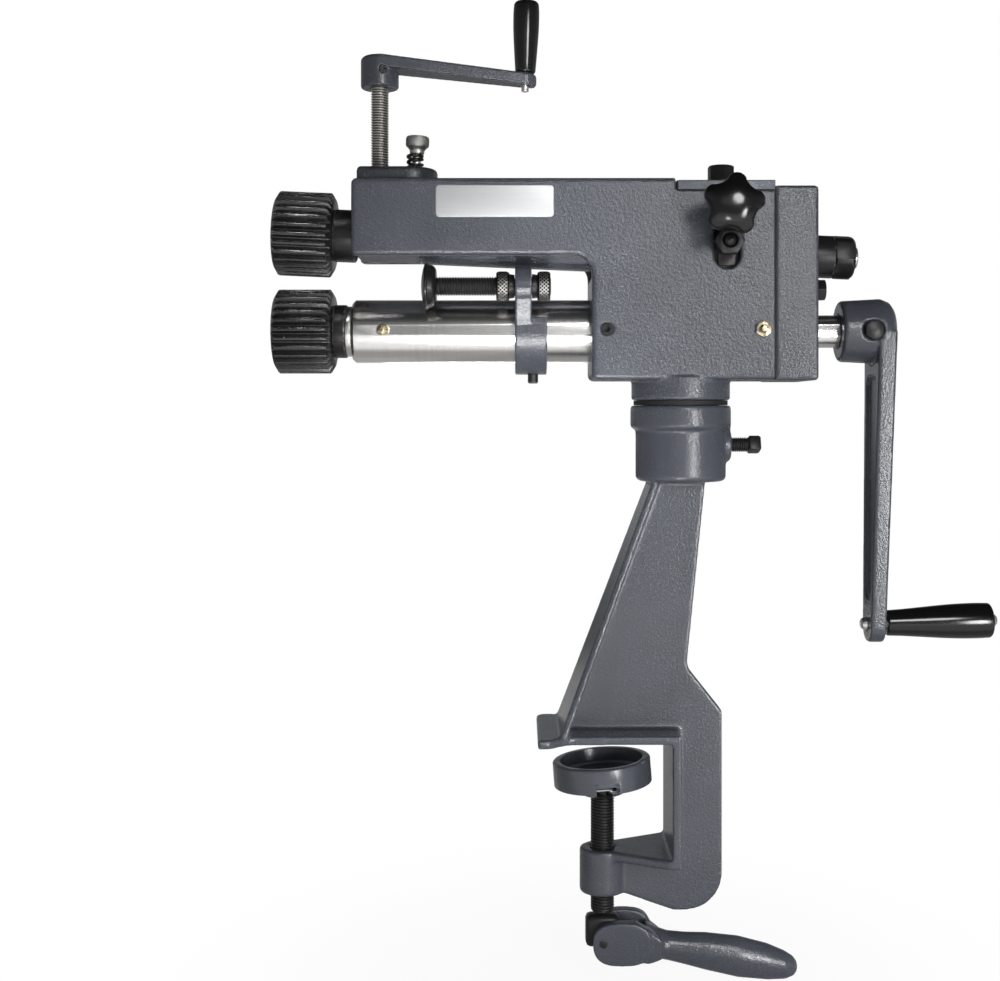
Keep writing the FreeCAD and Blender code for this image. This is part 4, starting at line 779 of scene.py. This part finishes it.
class CRIMPER_OT_clamp_handle(bpy.types.Operator):
    """Sculpts the folding clamp handle: two round cheeks that flow into a swelling grip"""
    bl_idname = "crimper.clamp_handle"
    bl_label = "Clamp handle"

    # distance from the pin, middle height, height, depth
    SECTIONS = ((29.0, -139.6, 24.0, 28.0), (36.0, -141.6, 20.5, 21.0), (44.0, -143.6, 19.4, 17.6),
                (56.0, -145.6, 21.3, 18.0), (70.0, -147.6, 24.8, 19.4), (92.0, -151.2, 27.4, 20.4),
                (112.0, -154.6, 24.0, 18.4), (124.0, -156.9, 18.6, 14.9),
                (129.4, -157.6, 13.2, 10.8), (131.6, -157.8, 7.8, 6.4), (132.4, -157.9, 2.6, 2.0))
    # outlines of the solid root behind the screw's end block and of a cheek's root, across and up
    SHOULDER = ((28.6, -128.2), (33.0, -131.0), (39.5, -136.0), (39.5, -148.4), (33.0, -151.0),
                (28.6, -151.6))
    CHEEK_ROOT = ((8.0, -124.4), (22.0, -123.6), (33.0, -130.0), (35.0, -140.0), (33.0, -150.6),
                  (22.0, -152.0), (10.0, -150.6), (2.0, -144.0), (1.0, -132.0))
    # side of the cheek, middle of its round outline, half its width, half its height
    CHEEKS = ((-1, (12.6, -138.2), 19.6, 14.4), (1, (14.6, -134.6), 18.6, 12.2))
    CHEEK_INSIDE = 7.4

    def execute(self, context):
        bm = bmesh.new()
        bridge(bm, [[vertex(bm, x, deep / 2 * math.cos(t), z + high / 2 * math.sin(t))
                     for t in self.turn(48)] for x, z, high, deep in self.SECTIONS])
        self.slab(bm, -14.0, 14.0, self.SHOULDER)
        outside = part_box("clamp_handle")[1].y / MM
        for side, (x, z), wide, tall in self.CHEEKS:
            rim = [(x + wide * bent(math.cos(t), 0.72), z + tall * bent(math.sin(t), 0.80))
                   for t in self.turn(40)]
            for outline, inset in ((rim, 0.3), (self.CHEEK_ROOT, 2.6)):
                faces = sorted((side * self.CHEEK_INSIDE, side * (outside - inset)))
                self.slab(bm, *faces, outline)
        piece = softened(from_bmesh("clamp_handle_cast", bm), 0.7 * MM, 14)
        instead(piece, "enamel", "clamp_handle")
        return {"FINISHED"}

    def turn(self, steps):
        return [2 * math.pi * k / steps for k in range(steps)]

    def slab(self, bm, low, high, rim):
        bridge(bm, [[vertex(bm, x, y, z) for x, z in rim] for y in (low, high)])


class CRIMPER_OT_rolls(bpy.types.Operator):
    """Makes the two crimping rolls with their nuts, collars and gears"""
    bl_idname = "crimper.rolls"
    bl_label = "Rolls"

    def execute(self, context):
        for level in ("upper", "lower"):
            machined(level + "_roll", "roll", 0.3)
            for part in ("_roll_nut", "_collar", "_gear"):
                machined(level + part, "black", 0.3)
        machined("thrust_washer", "bright", 0.3)
        return {"FINISHED"}


class CRIMPER_OT_shafts(bpy.types.Operator):
    """Finishes the tube, the shafts and the adjusting sleeve with its nut"""
    bl_idname = "crimper.shafts"
    bl_label = "Tube and shafts"

    def execute(self, context):
        machined("lower_tube", "tube", 0.4)
        for part, finish in (("lower_shaft", "shaft"), ("upper_shaft", "shaft"),
                             ("adjusting_sleeve", "black"), ("adjusting_nut", "black")):
            machined(part, finish, 0.3)
        return {"FINISHED"}


class CRIMPER_OT_screws(bpy.types.Operator):
    """Cuts the visible screw threads"""
    bl_idname = "crimper.screws"
    bl_label = "Screws"

    END_BLOCK = (-11.5, -6.7, -143.4), (11.5, 6.7, -122.0)
    # the lock screw's square head, (along, radius of its corners), and its turn
    SQUARE = ((98.9, 6.237), (99.6, 6.93), (105.6, 6.93), (107.3, 5.9598))
    SQUARE_TURN = math.radians(65)

    def execute(self, context):
        pitches = chosen("threads")
        low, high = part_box("pressure_screw")
        bm = thread(Axis((PRESSURE_X, 0, 0), UP), low.z / MM, high.z / MM, 6.0,
                    pitches.pressure_pitch / MM, 0.95)
        instead(from_bmesh("pressure_screw_thread", bm, 60.0), "screw", "pressure_screw")
        low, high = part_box("gauge_rod")
        bm = thread(Axis((0, GAUGE_Y, GAUGE_Z), ACROSS), low.x / MM, high.x / MM, 6.35,
                    pitches.rod_pitch / MM, 0.9)
        instead(from_bmesh("gauge_rod_thread", bm, 60.0), "thread", "gauge_rod")
        self.clamp_screw(pitches)
        self.lock_screw(pitches)
        return {"FINISHED"}

    def clamp_screw(self, pitches):
        machined("handle_pin", "black", 0.3)
        axis = Axis((0, 0, 0), UP)
        bm = thread(axis, -120.0, -40.4, 8.0, pitches.clamp_pitch / MM, 1.15)
        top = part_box("clamp_screw")[1].z / MM
        lathe(axis, ((-41.0, 0), (-41.0, 4.7), (top - 6.6, 4.7, 1.0), (top - 5.6, 7.0, 1.0),
                     (top - 1.6, 7.0, 1.2), (top, 4.6, 0.8), (top, 0)), 40, bm)
        added(from_bmesh("clamp_screw_thread", bm, 60.0), "thread", "bench_screw")
        bm = bmesh.new()
        cuboid(bm, *self.END_BLOCK)
        bmesh.ops.subdivide_edges(bm, edges=bm.edges, cuts=1)
        instead(rounded(from_bmesh("clamp_screw_end", bm, 40.0), 3.4, 2), "black", "clamp_screw")

    def lock_screw(self, pitches):
        axis = Axis((0, 0, LOCK_Z), ACROSS)
        bm = thread(axis, 80.0, 99.5, 5.0, pitches.lock_pitch / MM, 0.8, columns=40)
        added(from_bmesh("lock_screw_thread", bm, 60.0), "thread", "swivel_lock")
        bm = bmesh.new()
        bridge(bm, turned(bm, axis, self.SQUARE, 4, self.SQUARE_TURN))
        piece = rounded(from_bmesh("lock_screw_head", bm, 40.0), 0.8, 3)
        instead(piece, "black", "swivel_lock_screw")


class CRIMPER_OT_nuts(bpy.types.Operator):
    """Knurls the gauge nuts and the lift nut"""
    bl_idname = "crimper.nuts"
    bl_label = "Knurled nuts"

    ROD_BORE, STUD_BORE = 6.42, 3.02

    def execute(self, context):
        self.gauge_nuts()
        self.lift_nut()
        return {"FINISHED"}

    def gauge_nuts(self):
        axis = Axis((0, GAUGE_Y, GAUGE_Z), ACROSS)
        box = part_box("gauge_nuts")
        left, right = box[0].x / MM, box[1].x / MM
        knurled, necks = bmesh.new(), bmesh.new()
        for low, start, end in ((left, left + 8.3, left + 12.1),
                                (right - 8.5, right - 12.1, right - 8.3)):
            knurl(knurled, axis, low, low + 8.5, 9.9, self.ROD_BORE, 1.7, 0.45, 0.9, ridge=max)
            lathe(axis, ((start, self.ROD_BORE), (start, 8.2, 0.4), (end, 7.6, 0.5),
                         (end, self.ROD_BORE)), 48, necks, loop=True)
        instead(from_bmesh("gauge_nuts_knurled", knurled, 40.0), "dark_knurl", "gauge_nuts")
        instead(from_bmesh("gauge_nuts_necks", necks, 40.0), "black", "gauge_nuts")

    def lift_nut(self):
        """The nut with its neck and cap, and the stud it runs on, leaning with the swing arm."""
        lean = turn_about(PIVOT, REST_LEAN)
        axis = Axis((LIFT_X, 0, 0), UP)
        bm = bmesh.new()
        knurl(bm, axis, 390.0, 396.2, 8.0, 3.0, 1.25, 0.45, 0.35)
        lathe(axis, ((385.2, self.STUD_BORE), (385.2, 4.9, 0.4), (387.6, 5.1, 0.5),
                     (390.05, 7.3, 0.4), (390.05, self.STUD_BORE)), 48, bm, loop=True)
        lathe(axis, ((396.1, 0), (396.1, 7.6), (396.7, 7.2, 0.5), (397.0, 5.0, 1.0), (397.0, 0)),
              64, bm)
        bm.transform(lean)
        instead(from_bmesh("lift_nut_knurled", bm, 60.0), "knurl", "lift_nut")
        bm = lathe(axis, ((341.5, 0), (341.5, 3.0, 0.4), (396.0, 3.0, 0.7), (396.0, 0)), 32)
        bm.transform(lean)
        instead(from_bmesh("lift_stud_rod", bm, 40.0), "bright", "lift_stud")


class CRIMPER_OT_spring(bpy.types.Operator):
    """Winds the lift spring round its stud"""
    bl_idname = "crimper.spring"
    bl_label = "Lift spring"

    WIRE, TURNS, STEPS = 1.1, 4.1, 46  # radius of the wire, turns, points in a turn

    def execute(self, context):
        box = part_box("lift_spring")
        low, high = box[0].z / MM + self.WIRE, box[1].z / MM - self.WIRE
        centre = (box[0] + box[1]) / 2 / MM
        radius = (box[1].x - box[0].x) / 2 / MM - self.WIRE - 0.35
        curve = bpy.data.curves.new("lift_spring_wire", "CURVE")
        curve.dimensions = "3D"
        curve.bevel_depth = self.WIRE * MM
        curve.bevel_resolution = 4
        curve.use_fill_caps = True
        line = curve.splines.new("POLY")
        last = int(self.TURNS * self.STEPS)
        line.points.add(last)
        for k in range(last + 1):
            turns = self.TURNS * k / last
            rise = min(max((turns - 0.5) / (self.TURNS - 1.0), 0.0), 1.0)
            angle = 2 * math.pi * turns
            point = Vector((centre.x + radius * math.cos(angle),
                            centre.y + radius * math.sin(angle), low + (high - low) * rise))
            line.points[k].co = (*(point * MM), 1.0)
        wire = new_object("lift_spring_wire", curve)
        graph = bpy.context.evaluated_depsgraph_get()
        mesh = bpy.data.meshes.new_from_object(wire.evaluated_get(graph))
        bpy.data.objects.remove(wire)
        piece = smoothed(new_object("lift_spring_coil", mesh), 60.0)
        instead(piece, "spring", "lift_spring")
        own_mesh(piece)
        return {"FINISHED"}


class CRIMPER_OT_bolts(bpy.types.Operator):
    """Finishes the bolts, set screws and small black parts, and turns the gauge's stop disc"""
    bl_idname = "crimper.bolts"
    bl_label = "Bolts and set screws"

    def execute(self, context):
        machined("tube_set_screw", "seam", 0.08)
        for node in ("cover_bolts", "crank_bolt", "jack_bolt", "pivot_bolts", "star_knob_stud",
                     "gauge_set_screw", "pressure_set_screw", "pivot_block", "thrust_button",
                     "top_plate_screws", "lower_shaft_keys", "upper_shaft_keys"):
            machined(node, "black", 0.35 if "bolt" in node else 0.2)
        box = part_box("gauge_disc")
        left, right = box[0].x / MM, box[1].x / MM
        bm = lathe(Axis((0, GAUGE_Y, GAUGE_Z), ACROSS), (
            (left, 0), (left, 2.0), (left + 0.3, 6.5, 4.0), (left + 1.3, 11.6, 4.0),
            (left + 2.5, 15.2, 1.0), (left + 2.9, 15.6, 0.3), (left + 4.0, 15.6, 0.3),
            (left + 4.5, 14.9, 0.3), (left + 8.2, 13.6, 0.8), (right, 11.4, 0.8), (right, 0)),
            96, steps=5)
        instead(from_bmesh("gauge_disc_turned", bm, 30.0), "disc", "gauge_disc")
        return {"FINISHED"}


class CRIMPER_OT_grips(bpy.types.Operator):
    """Turns the two black grips and their pins"""
    bl_idname = "crimper.grips"
    bl_label = "Grips"

    CRANK_END, CRANK_LEAN = (179.6, 0.0, 75.0), math.radians(1.5)
    SMALL_END, SMALL_LEAN = (-52.4, 0.0, 448.6), math.radians(1.0)
    START, END = 13.0, 84.0  # where the crank's grip lies on its pin
    CRANK_GRIP = (
        (START, 0), (START, 8.0, 0.4), (START + 0.8, 8.6, 0.5), (START + 10, 9.0, 6),
        (START + 24, 10.1, 8), (START + 38, 11.2, 9), (START + 50, 11.85, 8), (START + 62, 12.0, 5),
        (END - 1.0, 11.7, 0.9), (END, 10.6, 0.7), (END, 5.6, 0.4), (END - 0.8, 5.0, 0.3),
        (END - 0.8, 0))
    CRANK_RIVET = (
        (-4.4, 0), (-4.4, 1.9, 0.6), (-3.2, 3.7, 0.7), (-0.3, 4.5, 0.4), (-0.3, 4.0),
        (START - 0.1, 4.0), (START - 0.1, 0))
    RIVET_TIP = (
        (END + 0.1, 0), (END + 0.1, 5.6, 0.4), (END + 2.2, 4.6, 0.9), (END + 4.4, 2.6, 0.9),
        (END + 4.4, 0))
    SMALL_GRIP = (
        (0.35, 0), (0.35, 6.2, 0.4), (1.4, 6.9, 0.8), (14, 7.8, 6), (30, 8.8, 6), (42, 8.85, 3),
        (47.4, 8.4, 1.4), (48.9, 7.0, 1.2), (49.0, 4.0, 0.8), (48.4, 0))
    SMALL_RIVET = ((-12.2, 0), (-12.2, 2.5, 0.6), (0.2, 2.5), (0.2, 0))

    def execute(self, context):
        axis = Axis(self.CRANK_END, (math.cos(self.CRANK_LEAN), 0.0, math.sin(self.CRANK_LEAN)))
        bm = lathe(axis, self.CRANK_GRIP, 72)
        instead(from_bmesh("crank_grip_turned", bm, 70.0), "plastic", "crank_grip")
        bm = lathe(axis, self.CRANK_RIVET, 40)
        lathe(axis, self.RIVET_TIP, 40, bm)
        instead(from_bmesh("crank_grip_rivet", bm, 40.0), "bright", "crank_grip_pin")
        axis = Axis(self.SMALL_END, (math.sin(self.SMALL_LEAN), 0.0, math.cos(self.SMALL_LEAN)))
        bm = lathe(axis, self.SMALL_GRIP, 64)
        instead(from_bmesh("pressure_grip_turned", bm, 70.0), "plastic", "pressure_grip")
        bm = lathe(axis, self.SMALL_RIVET, 32)
        instead(from_bmesh("pressure_grip_rivet", bm, 40.0), "bright", "pressure_grip_pin")
        return {"FINISHED"}


class CRIMPER_OT_star_knob(bpy.types.Operator):
    """Moulds the five lobed knob with its pillowed face"""
    bl_idname = "crimper.star_knob"
    bl_label = "Star knob"

    MIDDLE = (79.0, 350.2)  # across and up
    RADIUS, LOBE = 17.8, 2.3
    FIRST_LOBE = math.radians(82.0)
    DOME, DOME_STEPS = 9.2, 30
    THICK, HUB_BACK = 14.5, -34.1

    def execute(self, context):
        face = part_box("star_knob")[0].y / MM
        back = face + self.THICK
        quarter = [math.pi / 2 * k / self.DOME_STEPS for k in range(1, self.DOME_STEPS + 1)]
        shape = [(math.sin(t), face + self.DOME * (1.0 - math.cos(t)) ** 1.15) for t in quarter]
        shape += [(1.0, back - 3.2), (0.99, back - 2.0), (0.96, back - 0.9), (0.91, back - 0.2),
                  (0.85, back)]
        bm = bmesh.new()
        rings = [self.ring(bm, share, y) for share, y in shape]
        x, z = self.MIDDLE
        bridge(bm, [[vertex(bm, x, face, z)]] + rings)
        hub = self.HUB_BACK
        lathe(Axis((x, 0.0, z), (0, 1, 0)), (
            (back - 1.0, 0), (back - 1.0, 11.5), (back + 0.6, 9.2, 1.6), (back + 6.0, 8.1, 3.0),
            (hub - 0.5, 8.0, 0.5), (hub, 7.4, 0.3), (hub, 0)), 64, bm)
        instead(from_bmesh("star_knob_moulded", bm, 60.0), "plastic", "star_knob")
        return {"FINISHED"}

    def ring(self, bm, share, y):
        """One lobed outline, scaled by its share; the lobes fade towards the middle of the face."""
        columns = 240
        x, z = self.MIDDLE
        ring = []
        for angle in (2 * math.pi * k / columns for k in range(columns)):
            lobe = self.LOBE * bent(math.cos(5 * (angle - self.FIRST_LOBE)), 0.72)
            r = share * (self.RADIUS + lobe * min(1.0, share * 1.02) ** 6)
            ring.append(vertex(bm, x + r * math.cos(angle), y, z + r * math.sin(angle)))
        return ring


class CRIMPER_OT_fittings(bpy.types.Operator):
    """Finishes the oil nipples, bushes, name plate and pad wire"""
    bl_idname = "crimper.fittings"
    bl_label = "Small fittings"

    def execute(self, context):
        for part, finish in (("tube_oiler", "brass"), ("body_oiler", "brass"),
                             ("lower_bushes", "bronze"), ("upper_bushes", "bronze")):
            machined(part, finish, 0.2)
        machined("name_plate", "plate", 0.25)
        machined("pad_retaining_wire", "bright", 0.2)
        return {"FINISHED"}


class CRIMPER_OT_stage(bpy.types.Operator):
    """Sets up the floor, the soft lamps and the camera"""
    bl_idname = "crimper.stage"
    bl_label = "Stage"

    # name, place, aim, width and height, watts, spread in degrees, seen in the gloss
    LAMPS = (
        ("key", (0.36, -1.25, 0.66), (0.0, 0.0, 0.24), (0.34, 0.34), 4.8, 180.0, True),
        ("rolls", (-0.27, -0.24, 0.64), (-0.25, 0.0, 0.30), (0.12, 0.10), 0.022, 17.0, True),
        ("low", (0.62, -1.1, 0.02), (0.03, 0.0, -0.06), (0.22, 0.5), 1.1, 60.0, True),
        ("card", (-0.1, -1.9, 0.70), (0.0, 0.0, 0.25), (1.1, 0.5), 0.6, 180.0, True),
        ("sill", (-0.05, -0.62, -0.13), (0.0, 0.0, 0.27), (0.9, 0.42), 0.26, 180.0, True),
        ("gauge", (-0.05, -0.44, 0.02), (-0.05, -0.02, 0.268), (0.20, 0.34), 0.12, 24.0, True),
        ("left", (-1.4, 0.7, 0.35), (0.0, 0.0, 0.2), (0.8, 0.8), 3.4, 180.0, False),
        ("right", (1.7, 0.2, 0.35), (0.0, 0.0, 0.2), (0.8, 0.8), 4.6, 180.0, False),
        ("top", (0.0, 0.5, 1.9), (0.0, 0.0, 0.2), (1.0, 1.0), 3.0, 180.0, False),
        ("back", (-0.1, 1.7, 0.35), (0.0, 0.0, 0.20), (1.2, 1.0), 9.0, 180.0, False))
    WHITE = (1.0, 1.0, 1.0)

    def execute(self, context):
        scene = context.scene
        self.floor(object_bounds()[0].z - chosen("stage").floor_drop)
        self.world(scene)
        for lamp in self.LAMPS:
            self.lamp(*lamp)
        self.camera(scene)
        scene.view_settings.view_transform = "Standard"
        return {"FINISHED"}

    def camera(self, scene):
        """A level camera that looks along Y."""
        stage = chosen("stage")
        camera = new_object("camera", bpy.data.cameras.new("camera"))
        camera.location = stage.camera_place
        camera.rotation_euler = (math.pi / 2, 0.0, 0.0)
        camera.data.lens = stage.lens
        camera.data.sensor_width = 36.0
        camera.data.shift_x, camera.data.shift_y = stage.shift
        scene.camera = camera

    def floor(self, height):
        """A pale sheet, white to the camera, that takes the soft shadow under the machine."""
        bm = bmesh.new()
        bmesh.ops.create_grid(bm, x_segments=8, y_segments=8, size=30.0)
        floor = from_bmesh("floor", bm)
        floor.location.z = height
        f = Finish("pale_floor", Roughness=0.9)
        place = f.place()
        f.set(Base_Color=f.mix(f.noise(place, 3.0, 1.0), (0.80, 0.79, 0.78), (0.82, 0.81, 0.80)))
        away = f.node("ShaderNodeVectorMath", {"operation": "LENGTH"}, {0: place}, out="Value")
        glow = f.node("ShaderNodeEmission", None, {"Color": self.WHITE, "Strength": 1.0})
        seen = f.node("ShaderNodeLightPath", out="Is Camera Ray")
        front = 0.0 - f.part(place, "Y")
        gloss = f.mirrored() * front.above(0.08, 0.22) * (0.95 - away.above(1.4, 2.4) * 0.7)
        share = seen * (away.above(0.05, 0.35) * 0.07 + 0.93) + gloss
        lit = Sock(f, f.shader.outputs[0])
        shown = f.node("ShaderNodeMixShader", None, {0: share, 1: lit, 2: glow})
        f.feed(f.tree.nodes["Material Output"].inputs["Surface"], shown)
        floor.data.materials.append(f.material)
        floor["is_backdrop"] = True

    def world(self, scene):
        """White to the camera, a pale wall behind at eye level, a grey room and a dark ceiling."""
        world = bpy.data.worlds.new("studio")
        scene.world = world
        world.use_nodes = True
        n = Nodes(world.node_tree)
        place = n.place(kind="Generated")
        up, back = n.part(place, "Z"), n.part(place, "Y")
        room = 1.0 - up.above(0.10, 0.70)
        wall = (1.0 - up.above(0.06, 0.24)) * back.above(-0.15, 0.35)
        seen = n.node("ShaderNodeLightPath", out="Is Camera Ray")
        level = room * 0.27 + 0.02 + wall * (n.mirrored() * 0.10 + 0.10)
        white = n.mix(seen, n.mix(level, (0.0, 0.0, 0.0), (0.96, 0.98, 1.0)), self.WHITE)
        shown = n.node("ShaderNodeBackground", None, {"Color": white, "Strength": 1.0})
        n.feed(world.node_tree.nodes["World Output"].inputs["Surface"], shown)

    def lamp(self, name, place, aim, size, power, spread, gloss):
        data = bpy.data.lights.new(name, "AREA")
        data.shape = "ELLIPSE"
        data.size, data.size_y = size
        data.energy = power
        data.spread = math.radians(spread)
        lamp = new_object(name, data)
        lamp.location = place
        lamp.visible_camera = False
        lamp.visible_glossy = gloss
        lamp.rotation_euler = (Vector(aim) - Vector(place)).to_track_quat("-Z", "Y").to_euler()


class CRIMPER_PT_panel(bpy.types.Panel):
    """Lists the crimper's pieces"""
    bl_idname = "CRIMPER_PT_panel"
    bl_label = "Sheet metal crimper"
    bl_space_type = "VIEW_3D"
    bl_region_type = "UI"
    bl_category = "Crimper"

    def draw(self, context):
        for operator in OPERATORS:
            self.layout.operator(operator.bl_idname)


SETTINGS = {"paint": PaintSettings, "metal": MetalSettings, "threads": ThreadSettings,
            "stage": StageSettings}
OPERATORS = (
    CRIMPER_OT_finishes, CRIMPER_OT_castings, CRIMPER_OT_clamp_handle, CRIMPER_OT_rolls,
    CRIMPER_OT_shafts, CRIMPER_OT_screws, CRIMPER_OT_nuts, CRIMPER_OT_spring, CRIMPER_OT_bolts,
    CRIMPER_OT_grips, CRIMPER_OT_star_knob, CRIMPER_OT_fittings, CRIMPER_OT_stage)
CLASSES = (*SETTINGS.values(), *OPERATORS, CRIMPER_PT_panel)


def register():
    for cls in CLASSES:
        bpy.utils.register_class(cls)
    for name, group in SETTINGS.items():
        setattr(bpy.types.Scene, "crimper_" + name, PointerProperty(type=group))


def unregister():
    for name in SETTINGS:
        delattr(bpy.types.Scene, "crimper_" + name)
    for cls in reversed(CLASSES):
        bpy.utils.unregister_class(cls)


def main():
    register()
    for operator in OPERATORS:
        group, name = operator.bl_idname.split(".")
        getattr(getattr(bpy.ops, group), name)()


if __name__ == "__main__":
    main()
